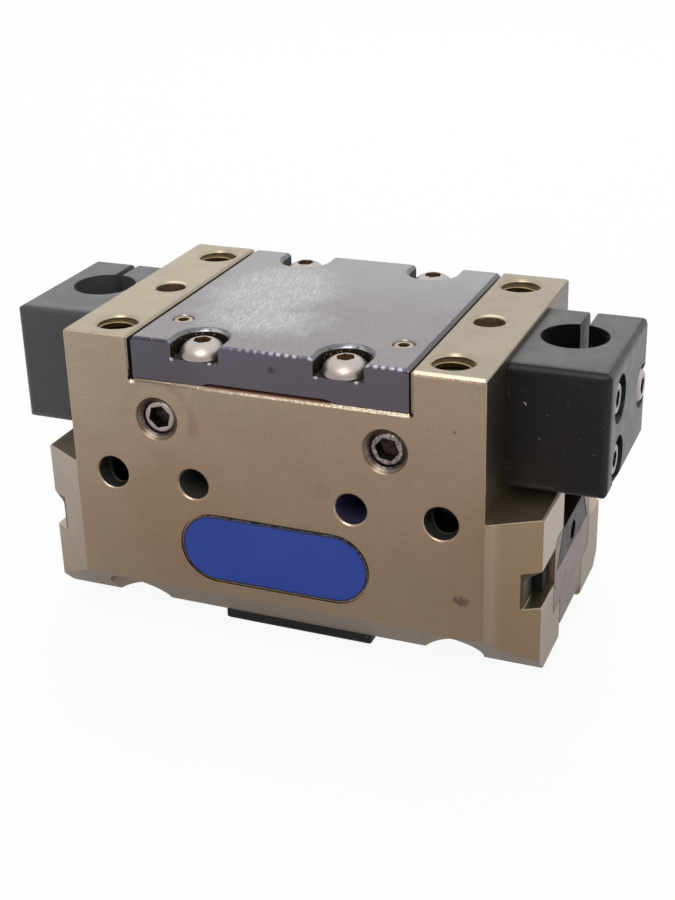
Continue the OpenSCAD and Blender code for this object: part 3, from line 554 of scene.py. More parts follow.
def front_stains(made, front):
    """Old stains and a small scar on the front."""
    port = (-16.6, FRONT, -11.7)
    ring = made.all_of(made.spot(port, 6.0, 1.3, ragged=0.8),
                       made.beyond(made.spot(port, 4.8, 1.2, ragged=0.8)), front)
    arcs = made.any_of(made.box((-12.6, None), z=(-13.8, -9.2), soft=0.8),
                       made.box((-14.8, -12.4), z=(-8.6, None), soft=0.6))
    made.paint((156, 112, 98), 0.28, ring, arcs)
    made.paint((160, 118, 104), 0.1, ring)
    made.paint((164, 122, 106), 0.25, made.spot((7.6, FRONT, -18.9), 1.2, 1.6, ragged=0.9))
    made.paint((176, 140, 110), 0.25, made.spot((-15, FRONT, -28), 9.0, 8.0, ragged=3.0))
    scar = made.spot((27.5, FRONT, -32.3), 0.8, 0.5, ragged=0.8, stretch=(1.3, 1, 0.8))
    made.paint((88, 76, 78), 0.7, scar)
    made.paint((232, 226, 216), 0.8, scar, made.specks(0.5, 0.16, 0.4, seed=3))
    made.paint((150, 96, 84), 0.8, made.spot((26.4, FRONT, -7.7), 0.2, 0.16))


def golden_front_and_lit_end(made, front, end):
    """A darker golden tone low on the right of the front, and on the end face a pale tone fading out
    downwards, painted light.
    """
    low_front = made.any_of(made.all_of(front, made.past("X", 20, 42)),
                            made.all_of(made.facing("Y", -1, 0.6, 0.8), made.past("X", 30.5, 33)))
    made.paint((158, 132, 96), 0.75, low_front, made.past("Z", -12, -21))
    # Painted light: the end face paler above, fading out downwards
    made.paint((222, 206, 190), 0.6, end, made.past("Z", -37, -29), made.past("Y", 9, 7))


def painted_housing_shade(made):
    """Painted shade and light: the right-hand strip's top and the downward faces darker, the sides beside
    the brackets darker, the ledges under them lighter, the wiper grooves dark inside and the strips' top
    bevels darker.
    """
    up = made.facing("Z")
    made.shade(0.87, up, made.box((20.5, None), z=(-1, None)))
    made.shade(0.75, made.facing("Z", -1, 0.3, 0.6))
    beside = made.box((30.4, 31.2), (-20.7, None), (-20.4, -0.2), 0.15, mirrored=True)
    made.shade(0.5, beside, made.any_of(made.facing("X"), made.facing("X", -1)))
    under = made.box((30.6, None), (-20.5, None), (-20.6, -19.0), 0.2, mirrored=True)
    # Painted light: the ledges under the brackets lighter
    made.shade(1.2, under, up)
    made.shade(0.3, made.box((34.9, None), z=(-33.4, -28.1), soft=0.06, mirrored=True))
    for start, stop, share in ((30.45, 30.8, 0.72), (20.5, 20.95, 0.8)):
        made.shade(share, made.box((start, stop), z=(-0.4, None), soft=0.08, mirrored=True))


def front_holes(made):
    """Painted shade on the inner walls of the holes in the front, bluish in the right-hand inner one, and
    a brown tone, a dark turning ring and dirt in the air ports' mouths.
    """
    inside = made.box(y=(FRONT + 0.28, 10), z=(None, -2), soft=0.06)
    right = made.box((0, None), soft=1)
    # Painted shade: the holes' inner walls dark
    for x, radius, tone in ((24.6, 2.44, (58, 58, 56)), (11.83, 2.3, (76, 72, 68))):
        bore = made.all_of(made.bore("Y", (x, 0, 21.2), radius), inside)
        made.paint(tone, 1, bore)
        made.dull(0.3, bore)
    made.paint((66, 62, 92), 1, bore, right)
    centre = (PORT_X, 0, PORT_DROP)
    port = made.all_of(made.bore("Y", centre, 3.32),
                       made.box(y=(FRONT + 0.05, 10), z=(None, -2), soft=0.04))
    made.paint((120, 102, 84), 0.75, port)
    made.shade(0.6, port, made.bore("Y", centre, 3.08), made.beyond(made.bore("Y", centre, 2.98)))
    made.paint((76, 78, 92), 0.85, port, made.bore("Y", centre, 2.8, 0.2),
               made.patches(0.4, 3, 0.36, 0.5, seed=6))


def top_holes(made):
    """The pin holes' walls with a painted highlight on their chamfers, the threaded holes' walls pale
    near the top and painted dark deeper down as painted shade, and painted shade along the channel's
    front edges.
    """
    pin = made.all_of(made.bore("Z", (BOLT_X, 0, 0), 2.32), made.box(z=(None, -0.28), soft=0.05))
    made.paint((124, 108, 90), 1, pin)
    made.paint((206, 186, 150), 0.8, pin, made.patches(0.2, 3, 0.5, 0.62, seed=8, rough=0.8))
    made.rub(0.6, pin)
    # Painted highlight on the pin holes' chamfers where they face the front
    made.paint((250, 236, 210), 0.8, made.bore("Z", (BOLT_X, 0, 0), 2.64),
               made.box(z=(-0.4, -0.02), soft=0.02), made.facing("Y", -1, 0.3, 0.7))
    bolt = made.bore("Z", (BOLT_X, BOLT_Y, 0), 3.0)
    # Painted shade: the threaded holes' walls pale near the top and dark deeper down, with a dark ring
    # under the countersinks
    made.paint((240, 226, 196), 0.9, bolt, made.past("Z", -0.5, -0.6))
    made.paint((54, 48, 36), 0.85, bolt, made.past("Z", -1.2, -1.9))
    made.shade(0.3, bolt, made.past("Z", -0.42, -0.5), made.past("Z", -0.76, -0.66))
    # Painted shade along the vertical front edges of the cover's channel
    made.shade(0.6, made.box((20.5, 20.85), (None, -20.8), (-6.2, -0.3), 0.12, mirrored=True))


def rubbed_edges_and_painted_light(made, worn, front, end):
    """Bare metal on the edges, wider where parts and hands have touched them, with painted light and
    shade in a few places.
    """
    speckle = made.patches(0.35, 4.0, 0.4, 0.54, seed=21, rough=0.7)
    ticks = made.patches(0.16, 2.0, 0.36, 0.5, stretch=(1, 1, 14), seed=23)
    rubbed = made.edges(0.22, 0.02, 0.16)
    made.paint(worn, 0.55, rubbed, front, speckle)
    made.paint(worn, 0.2, rubbed)
    right_strip = made.box((20.9, 30.3), (None, -20.55), (-0.62, None))
    made.paint(worn, 0.95, right_strip, made.any_of(ticks, made.past("Z", -0.4, -0.15)))
    left_strip = made.box((-30.3, -20.9), (None, -20.7), (-0.3, None))
    made.paint(worn, 0.3, left_strip, speckle)
    # The sill under the cover, chipped
    sill = made.box((-20.4, 20.4), (None, -20.5), (-6.6, -6.0), 0.04)
    made.shade(0.85, sill, made.past("X", -8, -12))
    made.paint(worn, 0.9, sill, speckle, made.past("X", -14, -2))
    made.shade(0.62, sill, made.patches(0.2, 3.0, 0.48, 0.56, seed=27, rough=0.8))
    # Painted highlight on the chamfer at the sill's left corner
    made.paint((255, 238, 214), 0.95, made.spot((-20.25, FRONT, -6.45), 0.46, 0.12))
    # The front edges of the ledges and the wiper grooves
    ledge = made.box((31.2, None), (None, -11), (-20.5, -19.6), mirrored=True)
    notch = made.box((35.2, None), (None, -11), (-34, -33.35), 0.08, mirrored=True)
    made.paint((252, 240, 216), 0.9, made.any_of(ledge, notch), made.edges(0.3, 0.01, 0.08),
               made.past("X", 30, 35))
    made.paint((112, 70, 44), 0.6, sill, made.patches(0.3, 3.0, 0.62, 0.7, stretch=(6, 1, 1), seed=33))
    # Rust and grease in the pry slot under the cover, painted lighter than they are as painted light in
    # the slot's shade
    slot = made.box((-9.2, 9.2), (-20.75, -18.2), (-6.3, -5.9), 0.12)
    made.paint((120, 74, 56), 0.9, slot)
    made.dull(0.2, slot)
    # Painted shade along the gaps round the jaws at the end faces
    made.paint((48, 42, 40), 0.9, made.edges(0.5, 0.01, 0.06), end,
               made.box(y=(-12, 12), z=(None, -20.4)))
    made.rub(0.26, rubbed)


def housing_finish(tones):
    """Bronze hard anodising over milled aluminium, rubbed bright along its edges."""
    made = Finish("housing anodised", tones.housing, 0.34, metallic=1.0)
    front = made.box(y=(None, FRONT + 0.4))
    end = made.all_of(made.facing("X"), made.box((36, None), z=(None, -20), soft=0.2))
    milled_skin(made)
    front_stains(made, front)
    golden_front_and_lit_end(made, front, end)
    painted_housing_shade(made)
    front_holes(made)
    top_holes(made)
    rubbed_edges_and_painted_light(made, tones.worn, front, end)
    return made.done()


def thread_finish(tones):
    """Golden cut threads with painted shade between and below them."""
    made = Finish("cut thread", tones.brass, 0.3, metallic=1.0)
    made.shade(0.3, made.beyond(made.bore("Z", (BOLT_X, BOLT_Y, 0), 2.64, 0.1)))
    made.shade(0.75, made.patches(0.4, 3.0, 0.4, 0.7, seed=4))
    made.paint((60, 52, 38), 0.85, made.past("Z", -2.4, -3.2))
    made.emboss(made.noise(0.2, 3.0), 0.01)
    return made.done()


def scratched_top_lit_at_back(made, grain):
    """Scratches in all directions on the cover's top, bright where it was rubbed most, and the top
    painted lighter towards the back as painted light.
    """
    top = made.facing("Z")
    # Painted light: the top lighter towards the back
    made.paint((172, 170, 171), 0.5, top, made.past("Y", -8, 20))
    rubbed = made.any_of(
        made.spot((-9, 2.5, 0), 8.0, 8, ragged=2.5, stretch=(1.0, 1.3, 1)),
        made.spot((-6, -9, 0), 5.5, 7, ragged=2.5, stretch=(1.4, 1.0, 1)))
    scratch = made.any_of(*(
        made.patches(0.1, 1.0, 0.6, 0.7, stretch=(34, 1, 1), turn=(0, 0, turn), seed=seed * 7.3)
        for turn, seed in ((-108, 1), (-100, 2), (-118, 3), (-92, 4), (-60, 5))))
    made.paint((206, 207, 206), 0.12, scratch, top)
    made.paint((188, 189, 188), 0.5, rubbed, top)
    made.paint((232, 234, 231), 0.6, scratch, rubbed, top)
    made.rub(0.4, top, made.band(grain, 0.35, 0.7))
    made.emboss(made.all_of(scratch, top), -0.006)
    made.emboss(grain, 0.004)


def chipped_rim(made):
    """Chips along the front edge of the cover's top, regular on the right."""
    rim = made.box(y=(None, -20.35), z=(-0.42, None), soft=0.04)
    right = made.past("X", -6.6, -6.2)
    made.paint((106, 102, 122), 0.9, rim, right)
    wobble = made.math("MULTIPLY", made.noise(0.5, 1.0, stretch=(1, 30, 30), seed=12), 0.5)
    start, half_pitch = 0.58, 0.565
    shifted = made.math("SUBTRACT", made.math("ADD", made.along("X"), wobble), start)
    wave = made.math("PINGPONG", shifted, half_pitch)
    made.paint((206, 208, 214), 0.72, rim, right, made.band(wave, 0.2, 0.36), made.past("X", -9, 3),
               made.patches(1.2, 1.0, 0.3, 0.5, stretch=(1, 30, 30), seed=15))
    made.paint((66, 62, 84), 0.7, rim, made.box((None, -14.5), soft=0.2),
               made.patches(0.3, 2.0, 0.4, 0.5, stretch=(1, 30, 2), seed=18))


def pocket_dirt_and_highlights(made):
    """Dirt in the pockets round the cover's screws, their broken edges painted grey with a painted
    highlight where they face the front, and bright chips at the front corners.
    """
    def pockets(radius):
        return made.any_of(made.bore("Z", (SCREW_X, POCKET_Y, 0), radius),
                           made.bore("Z", (SCREW_X, POCKET_EDGE_Y, 0), radius))
    pocket = made.all_of(pockets(4.1), made.box(y=(-20.6, 20.6), z=(-2.75, -0.5), soft=0.04))
    made.paint((46, 40, 36), 0.9, pocket, made.beyond(made.facing("Z", 1, 0.3, 0.6)))
    floor = made.all_of(pockets(4.3), made.box(y=(-20.66, 20.66), z=(-2.75, -0.7), soft=0.03))
    made.paint((58, 50, 42), 0.8, floor)
    made.paint((206, 172, 112), 0.85, floor, made.specks(0.5, 0.15, 0.6, seed=4))
    lip = made.all_of(pockets(4.12), made.box(y=(-20.3, None), z=(-0.52, None), soft=0.03),
                      made.beyond(made.facing("Z", 1, 0.85, 0.96)))
    made.paint((112, 112, 119), 0.9, lip)
    # Painted highlight where the lips face the front
    made.paint((196, 197, 202), 0.8, lip, made.facing("Y", -1, 0.58, 0.7),
               made.patches(0.8, 2.0, 0.3, 0.5, seed=31))
    for x, corner in ((-SCREW_X, -3.5), (-SCREW_X, 2.2), (SCREW_X, -3.2), (SCREW_X, 2.5)):
        bright = made.spot((x + corner, -20.65, -2.65), 0.26, 0.16, ragged=0.3)
        made.paint((238, 240, 244), 0.95, bright)
    made.rub(0.6, pocket)


def cover_finish(tones):
    """Blackened steel, scratched on top and chipped along its front edge."""
    made = Finish("blackened cover", tones.cover, 0.3, metallic=1.0)
    grain = made.noise(0.2, 4.0, seed=2, rough=0.7)
    made.shade(0.88, made.band(grain, 0.4, 0.75))
    made.shade(0.94, made.patches(7.0, 3.0, 0.4, 0.65, seed=6))
    scratched_top_lit_at_back(made, grain)
    # Front and rear faces painted darker and bluer as painted shade, darker still towards the left, with
    # a dark mark
    side = made.band(made.math("ABSOLUTE", made.along("Y")), 20.5, 20.6)
    made.paint((113, 112, 123), 1, side)
    made.paint((104, 102, 106), 0.8, side, made.past("X", -7, -14))
    made.paint((104, 105, 116), 0.8, side, made.past("X", -14, -21))
    made.paint((86, 78, 80), 0.8, made.spot((0.9, -20.7, -2.45), 0.5, 0.5, ragged=0.3))
    chipped_rim(made)
    # Painted shade on the long bevels, and rust in the pry slot, painted lighter than it is as painted
    # light in the slot's shade
    made.shade(0.44, made.box((19.7, None), z=(-0.6, None), soft=0.03, mirrored=True))
    slot = made.box((-9.8, 9.8), (-20.4, None), (-6.1, -5.5), 0.03)
    made.paint((196, 134, 112), 1, slot)
    made.dull(0.0, slot)
    pocket_dirt_and_highlights(made)
    return made.done()


def bracket_wear_and_sheen(made, grain):
    """Dust and painted sheen on the brackets' tops, painted sheen on their outer sides, a painted
    reflection lightening the left one, pale top edges, a fine scratch, a fibre and the rough edge at the
    housing.
    """
    dust_and_sheen = made.math("ADD", made.math("MULTIPLY", made.noise(4.0, 4.0, seed=9), 0.6), 0.5)
    # Dust and painted sheen on the tops
    made.paint((88, 88, 88), 0.85, made.facing("Z", 1, 0.86, 0.97), dust_and_sheen)
    # Painted sheen on the outer sides
    made.paint((92, 90, 90), 0.9, made.facing("X", 1, 0.86, 0.97), made.past("X", 44.1, 44.2), dust_and_sheen)
    # Painted reflection lightening the left bracket
    made.paint((84, 84, 84), 0.6, made.past("X", -30, -30.5))
    made.paint((104, 104, 102), 0.3, made.edges(0.3, 0.02), made.past("Z", -2.6, -1.2),
               made.band(grain, 0.35, 0.55))
    scratch = made.all_of(made.spot((36.5, -7.1, -1.15), 2.4, 0.6),
                          made.box((36.44, 36.56), z=(-1.4, None), soft=0.05))
    made.paint((110, 110, 108), 0.4, scratch)
    fibre = made.any_of(made.spot((33.0, -11.8, -6.4), 0.09, 0.06, stretch=(2.2, 1, 0.9)),
                        made.spot((33.2, -11.8, -6.6), 0.09, 0.06, stretch=(0.9, 1, 1.8)))
    made.paint((206, 200, 176), 0.45, fibre)
    burr = made.all_of(made.box((None, 30.95), soft=0.12, mirrored=True),
                       made.patches(0.45, 4.0, 0.54, 0.64, seed=7, rough=0.7))
    made.paint((140, 140, 132), 0.16, burr)
    made.rub(0.9, made.past("Z", -19.0, -20.2))


def plastic_finish(name, base, bracket=False):
    """Black glass-filled plastic with a fine matt skin, dust specks and pale burrs."""
    made = Finish(name, base, 0.42, specular=0.35)
    made.shader.inputs["Sheen Weight"].default_value = 0.08
    made.shader.inputs["Sheen Roughness"].default_value = 0.4
    grain = made.noise(0.16, 4.0, seed=8, rough=0.7)
    made.shade(0.8, made.patches(5.0, 3.0, 0.4, 0.7, seed=14))
    made.paint((48, 48, 47), 0.25, made.band(grain, 0.6, 0.8))
    made.paint((190, 190, 180), 0.6, made.specks(0.9, 0.09, 0.16, seed=2.0))
    made.paint((165, 165, 155), 0.5, made.specks(0.5, 0.06, 0.16, seed=5.0))
    made.rub(0.34, made.patches(3.0, 2.0, 0.45, 0.7, seed=11))
    made.emboss(grain, 0.012)
    made.emboss(made.noise(1.2, 2.0, seed=3), 0.01)
    if bracket:
        bracket_wear_and_sheen(made, grain)
    return made.done()


def steel_finish(name, base, roughness, outline=False, dirty_plug=False):
    """Ground steel with fine lines and dull patches; outline, with painted shade along its edges for the
    gaps round it.
    """
    made = Finish(name, base, roughness, metallic=1.0)
    lines = made.noise(0.14, 2.0, stretch=(1, 18, 1), seed=6)
    cloud = made.noise(2.4, 4.0, seed=2)
    made.shade(0.88, made.band(lines, 0.35, 0.7))
    made.shade(0.93, made.band(cloud, 0.45, 0.72))
    made.rub(roughness + 0.08, made.band(cloud, 0.4, 0.7))
    if outline:
        # Painted shade along the edges, standing for the gaps round the part
        made.paint((34, 30, 30), 0.9, made.edges(0.4, 0.01, 0.08))
    else:
        made.paint((222, 220, 216), 0.5, made.edges(0.15))
    if dirty_plug:
        # The right-hand port plug is dirtier than the other screws
        made.paint((60, 60, 72), 0.75, made.box((10, None), (None, -18.5), (None, -8), 0.2),
                   made.patches(0.35, 4.0, 0.42, 0.6, seed=13, rough=0.7))
    made.emboss(lines, 0.004)
    return made.done()


def rust_finish(tones):
    """Rust and dried grease in a socket."""
    made = Finish("socket rust", tones.rust, 0.62, metallic=0.35)
    made.paint((150, 106, 62), 0.7, made.patches(0.4, 4.0, 0.45, 0.7, seed=3))
    made.paint((26, 20, 16), 0.8, made.patches(0.6, 3.0, 0.5, 0.66, seed=9))
    made.emboss(made.noise(0.2, 4.0), 0.03)
    return made.done()


def dark_socket_finish(tones):
    """Greasy dark steel in a socket."""
    made = Finish("socket dark", tones.socket, 0.36, metallic=0.8)
    made.shade(0.35, made.patches(0.7, 3.0, 0.4, 0.66, seed=5))
    made.emboss(made.noise(0.2, 3.0), 0.012)
    return made.done()


def plate_finish(tones):
    """Blue lacquer on a thin plate with a dark outline, left blank."""
    made = Finish("blue lacquer", tones.plate, 0.36, specular=0.5, coat=0.15)
    made.shade(0.88, made.patches(0.2, 3.0, 0.45, 0.8, seed=4))
    made.paint((32, 70, 152), 0.3, made.patches(7.0, 3.0, 0.45, 0.7, seed=8))
    # Distance to the middle line of a slot with round ends
    half, drop = 9.0, 30.8
    along = made.math("SUBTRACT", made.math("ABSOLUTE", made.along("X")), half)
    along = made.math("MAXIMUM", along, 0.0)
    up = made.math("ADD", made.along("Z"), drop)
    far = made.math("SQRT", made.math("ADD", made.math("MULTIPLY", along, along),
                                      made.math("MULTIPLY", up, up)))
    made.paint((16, 18, 30), 0.9, made.band(far, 4.74, 4.86))
    made.paint((120, 116, 104), 0.6, made.band(far, 4.96, 5.02),
               made.patches(0.5, 3.0, 0.45, 0.6, seed=2))
    made.emboss(made.noise(0.3, 3.0, seed=2), 0.006)
    return made.done()


def rubber_finish(tones):
    """Dull black rubber."""
    made = Finish("nitrile rubber", tones.rubber, 0.7, specular=0.25)
    made.paint((40, 40, 38), 0.4, made.patches(0.5, 4.0, 0.45, 0.75, seed=2))
    made.emboss(made.noise(0.2, 3.0), 0.015)
    return made.done()


def aluminium_finish(tones):
    """Turned aluminium with fine rings."""
    made = Finish("turned aluminium", tones.aluminium, 0.26, metallic=1.0)
    rings = made.noise(0.15, 2.0, stretch=(40, 40, 1), seed=3)
    made.shade(0.88, made.band(rings, 0.4, 0.65))
    made.emboss(rings, 0.005)
    return made.done()


FINISH_MAKERS = {
    "housing": housing_finish,
    "thread": thread_finish,
    "cover": cover_finish,
    "bracket": lambda tones: plastic_finish("bracket plastic", tones.plastic, bracket=True),
    "dust": lambda tones: plastic_finish("dust cover plastic", tones.dust_plastic),
    "stainless": lambda tones: steel_finish("stainless steel", tones.stainless, 0.4, dirty_plug=True),
    "brass": lambda tones: steel_finish("tarnished plug", tones.plug, 0.34),
    "jaw": lambda tones: steel_finish("ground jaw steel", tones.jaw, 0.34, outline=True),
    "cam": lambda tones: steel_finish("cam steel", tones.cam, 0.36, outline=True),
    "rust": rust_finish,
    "socket": dark_socket_finish,
    "plate": plate_finish,
    "rubber": rubber_finish,
    "aluminium": aluminium_finish,
}


@functools.cache
def shared_finish(name):
    """The finish of that name, made once."""
    return FINISH_MAKERS[name](bpy.context.scene.gripper_colours)


# ---------------------------------------------------------------- pieces

class GRIPPER_OT_housing(bpy.types.Operator):
    """Make the housing with countersunk bores, a chipped sill and rounded edges"""
    bl_idname = "gripper.housing"
    bl_label = "Housing"

    def execute(self, context):
        sizes = context.scene.gripper_sizes
        body = node_copy("housing", "housing_body")
        root, depth, sink = (value / MM for value in (
            sizes.thread_root, sizes.thread_depth, sizes.countersink))
        bit = turned("bit", [(0, -depth), (root, -depth), (root, -sink),
                             (root + sink + 1, 1), (0, 1)], steps=40)
        cut_at(body, bit, [((0, 0, 0), (x, y, 0)) for x, y in BOLT_PLACES])
        pin, sink = 2.3, 0.3
        bit = turned("bit", [(0, -sink), (pin, -sink), (pin + sink + 1, 1), (0, 1)], steps=40)
        cut_at(body, bit, [((0, 0, 0), (x, 0, 0)) for x in (-BOLT_X, BOLT_X)])
        # The sill's chamfer widens to the right, and its left end is bruised
        sill, top = -6.1, 0
        for start, end, height, width in (
                (-20.4, -14, sill, 0.16), (-14.1, -10, sill, 0.28), (-10.1, 20.4, sill, 0.44),
                (-20.7, -19.8, sill, 0.8), (20.9, 30.9, top, 0.34)):
            cut(body, chamfer_bit("X", start, end, (FRONT, height), width))
        round_edges(body, sizes.edge)
        smooth(body)
        finish_piece(body, "housing", ["housing"], ["housing"])
        return {"FINISHED"}


class GRIPPER_OT_threads(bpy.types.Operator):
    """Make the helical threads in the four robot-side holes"""
    bl_idname = "gripper.threads"
    bl_label = "Robot-side threads"

    def execute(self, context):
        sizes = context.scene.gripper_sizes
        pitch = sizes.thread_pitch / MM
        overlap = 0.03
        root, crest = sizes.thread_root / MM + overlap, sizes.thread_crest / MM
        turns = round(sizes.thread_depth / sizes.thread_pitch) - 1
        low = -turns * pitch - sizes.countersink / MM - 0.5 * pitch
        foot, tip = 0.46 * pitch, 0.3 * pitch
        ridge = turned("robot_threads", [
            (root, low - foot), (crest, low - tip), (crest, low + tip), (root, low + foot),
            (root, low - foot)], steps=36, pitch=sizes.thread_pitch, turns=turns)
        with editing(ridge):
            bpy.ops.mesh.fill_holes(sides=0)
            bpy.ops.mesh.normals_make_consistent(inside=False)
        threads = scatter("robot_threads", ridge, [
            ((0, 0, 12 * index - 80), (x, y, 0)) for index, (x, y) in enumerate(BOLT_PLACES)])
        smooth(threads, 50)
        finish_piece(threads, "housing", ["thread"])
        return {"FINISHED"}


class GRIPPER_OT_cover(bpy.types.Operator):
    """Make the scratched cylinder cover"""
    bl_idname = "gripper.cover"
    bl_label = "Cylinder cover"

    def execute(self, context):
        sizes = context.scene.gripper_sizes
        cover = node_copy("cylinder_cover", "cover_plate")
        radius, bevel, above = sizes.pocket / MM, 0.5, 0.7
        bit = turned("bit", [(0, POCKET_FLOOR), (radius, POCKET_FLOOR), (radius, -bevel),
                             (radius + bevel + above, above), (0, above)])
        # Half of the bit is drawn out, so that the pocket is open to the cover's edge
        with editing(bit, action="DESELECT"):
            middle, reach = 0.05 * MM, 4 * MM
            pick(bit.data.vertices, lambda vertex: vertex.co.y > middle)
            bpy.ops.transform.translate(value=(0, reach, 0))
        cut_at(cover, bit, [((0, 0, turn), (SCREW_X * x, y, 0))
                            for y, turn in ((POCKET_Y, 0), (-POCKET_Y, 180)) for x in (1, -1)])
        half_width, half_length = 20.2, 22
        for x in (-half_width, half_width):
            cut(cover, chamfer_bit("Y", -half_length, half_length, (x, 0), bevel))
        round_edges(cover, sizes.edge)
        smooth(cover)
        finish_piece(cover, "housing", ["cover"], ["cylinder_cover"])
        return {"FINISHED"}


def button_head(sizes, radius, height, flat, finishes):
    """A domed screw with a hexagon socket, its seat at the origin."""
    cutter = hex_bit(sizes.head_socket, height, height * 0.62)
    radius, height, flat = (value / MM for value in (radius, height, flat))
    shank, shank_long, skirt, rim = 1.45, 3.4, 0.22, 0.12
    last, steps = math.acos(flat / radius), 9
    dome = [(radius * math.cos(last * step / steps),
             skirt + (height - skirt) * math.sin(last * step / steps) / math.sin(last))
            for step in range(steps + 1)]
    head = turned("button_head", [(0, -shank_long), (shank, -shank_long), (shank, 0),
                                  (radius - rim, 0), (radius, rim)] + dome + [(0, height)], steps=56)
    cut(head, cutter)
    round_edges(head, 0.05 * MM, angle=35)
    line_socket(head, finishes, sizes.head_socket, 0.2, height - 0.06)
    return head


class GRIPPER_OT_button_heads(bpy.types.Operator):
    """Make the button head screws of the cover and the sensor brackets"""
    bl_idname = "gripper.button_heads"
    bl_label = "Button head screws"

    def execute(self, context):
        sizes = context.scene.gripper_sizes
        head = button_head(sizes, sizes.cover_head, sizes.cover_head_high, sizes.head_flat,
                           ["stainless", "rust"])
        places = [(SCREW_X * x, SCREW_Y * y, COVER_SCREW_SEAT) for x in (-1, 1) for y in (-1, 1)]
        groups = [("cover_button_heads", head, "cover_screws",
                   [((0, 0, turn), place) for turn, place in zip((12, 47, 25, 6), places)])]
        for side, sign in SIDES:
            head = button_head(sizes, sizes.side_head, sizes.side_head_high, sizes.side_flat,
                               ["stainless", "socket"])
            turn = (0, 90 * sign, 0)
            groups.append(("bracket_heads_" + side, duplicate(head), "bracket_screws_" + side,
                           [(turn, (FIXING_SEAT * sign, FIXING_Y, z)) for z in FIXING_HEIGHTS]))
            groups.append(("clamp_head_" + side, head, "clamp_screw_" + side,
                           [(turn, (CLAMP_SEAT * sign, CLAMP_Y, CLAMP_HEIGHT))]))
        for name, head, node, places in groups:
            heads = scatter(name, head, places)
            smooth(heads, 40)
            finish_piece(heads, "housing", nodes=[node])
        return {"FINISHED"}


def set_screw(radius, long, socket, chamfer, finishes):
    """A set screw with a hexagon socket, its outer end at the origin."""
    radius, point = radius / MM, 0.3
    plug = turned("set_screw", [(0, -long), (radius - point, -long), (radius, -long + point),
                                (radius, -chamfer), (radius - chamfer, 0), (0, 0)], steps=48)
    cut(plug, hex_bit(socket, 0.0, long * 0.45 * MM))
    round_edges(plug, 0.04 * MM, angle=30)
    line_socket(plug, finishes, socket, -long, -0.05)
    return plug


class GRIPPER_OT_plugs(bpy.types.Operator):
    """Make the set screws that close the air ports"""
    bl_idname = "gripper.plugs"
    bl_label = "Air port plugs"

    def execute(self, context):
        sizes = context.scene.gripper_sizes
        x, y = AXIAL_PORT
        for name, node, plug, places in (
                ("port_plugs", "front_port_plugs",
                 set_screw(sizes.plug_radius, 4.5, sizes.plug_socket, 0.35, ["stainless", "socket"]),
                 [((90, turn, 0), (sign * PORT_X, PORT_SEAT, -PORT_DROP))
                  for sign, turn in ((-1, 14), (1, 38))]),
                ("axial_plugs", "cover_port_plugs",
                 set_screw(sizes.pin_radius, 4.0, sizes.pin_socket, 0.22, ["brass", "rust"]),
                 [((0, 0, turn), (sign * x, y, AXIAL_SEAT)) for sign, turn in ((-1, 10), (1, 40))])):
            plugs = scatter(name, plug, places)
            smooth(plugs, 35)
            finish_piece(plugs, "housing", nodes=[node])
        return {"FINISHED"}


class GRIPPER_OT_name_plate(bpy.types.Operator):
    """Make the blank name plate"""
    bl_idname = "gripper.name_plate"
    bl_label = "Name plate"

    def execute(self, context):
        dressed_copy("name_plate", "blank_plate", "plate",
                     context.scene.gripper_sizes.edge)
        return {"FINISHED"}


class GRIPPER_OT_brackets(bpy.types.Operator):
    """Make the moulded sensor brackets"""
    bl_idname = "gripper.brackets"
    bl_label = "Sensor brackets"

    def execute(self, context):
        for side, _ in SIDES:
            dressed_copy("sensor_bracket_" + side, "bracket_" + side, "bracket",
                         context.scene.gripper_sizes.moulded_edge, angle=35)
        return {"FINISHED"}


class GRIPPER_OT_dust_cover(bpy.types.Operator):
    """Make the dust cover and its screws"""
    bl_idname = "gripper.dust_cover"
    bl_label = "Dust cover"

    def execute(self, context):
        dressed_copy("dust_cover", "dust_lid", "dust",
                     context.scene.gripper_sizes.moulded_edge, angle=35)
        dressed_copy("dust_cover_screws", "dust_lid_screws", "stainless", 0.04 * MM)
        return {"FINISHED"}


class GRIPPER_OT_jaws(bpy.types.Operator):
    """Make the base jaws, their switching cams and the cams' screws"""
    bl_idname = "gripper.jaws"
    bl_label = "Base jaws"

    def execute(self, context):
        for side, _ in SIDES:
            for node, slot, finish in (("jaw_", "jaw_steel", "jaw"), ("jaw_cam_", "cam_steel", "cam"),
                                       ("cam_screw_", "screw_steel", "stainless")):
                dressed_copy(node + side, node.replace("_", "") + "_ground_" + side, finish,
                             context.scene.gripper_sizes.edge, body="jaw_" + side)
        return {"FINISHED"}


class GRIPPER_OT_wipers(bpy.types.Operator):
    """Make the rubber wipers at both ends of the jaw guide"""
    bl_idname = "gripper.wipers"
    bl_label = "Wipers"

    def execute(self, context):
        for side, _ in SIDES:
            dressed_copy("wipers_" + side, "wiper_strips_" + side, "rubber",
                         context.scene.gripper_sizes.moulded_edge)
        return {"FINISHED"}


class GRIPPER_OT_inner_parts(bpy.types.Operator):
    """Give the parts inside the housing their finishes"""
    bl_idname = "gripper.inner_parts"
    bl_label = "Inner parts"

    def execute(self, context):
        for node, finish in (("cover_seal", "rubber"), ("rod_seal", "rubber"),
                             ("piston_seal", "rubber"), ("piston", "aluminium"),
                             ("piston_screw", "stainless"), ("wedge_hook", "jaw")):
            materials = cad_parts[node].data.materials
            materials.clear()
            materials.append(shared_finish(finish))
        return {"FINISHED"}


# ---------------------------------------------------------------- stage

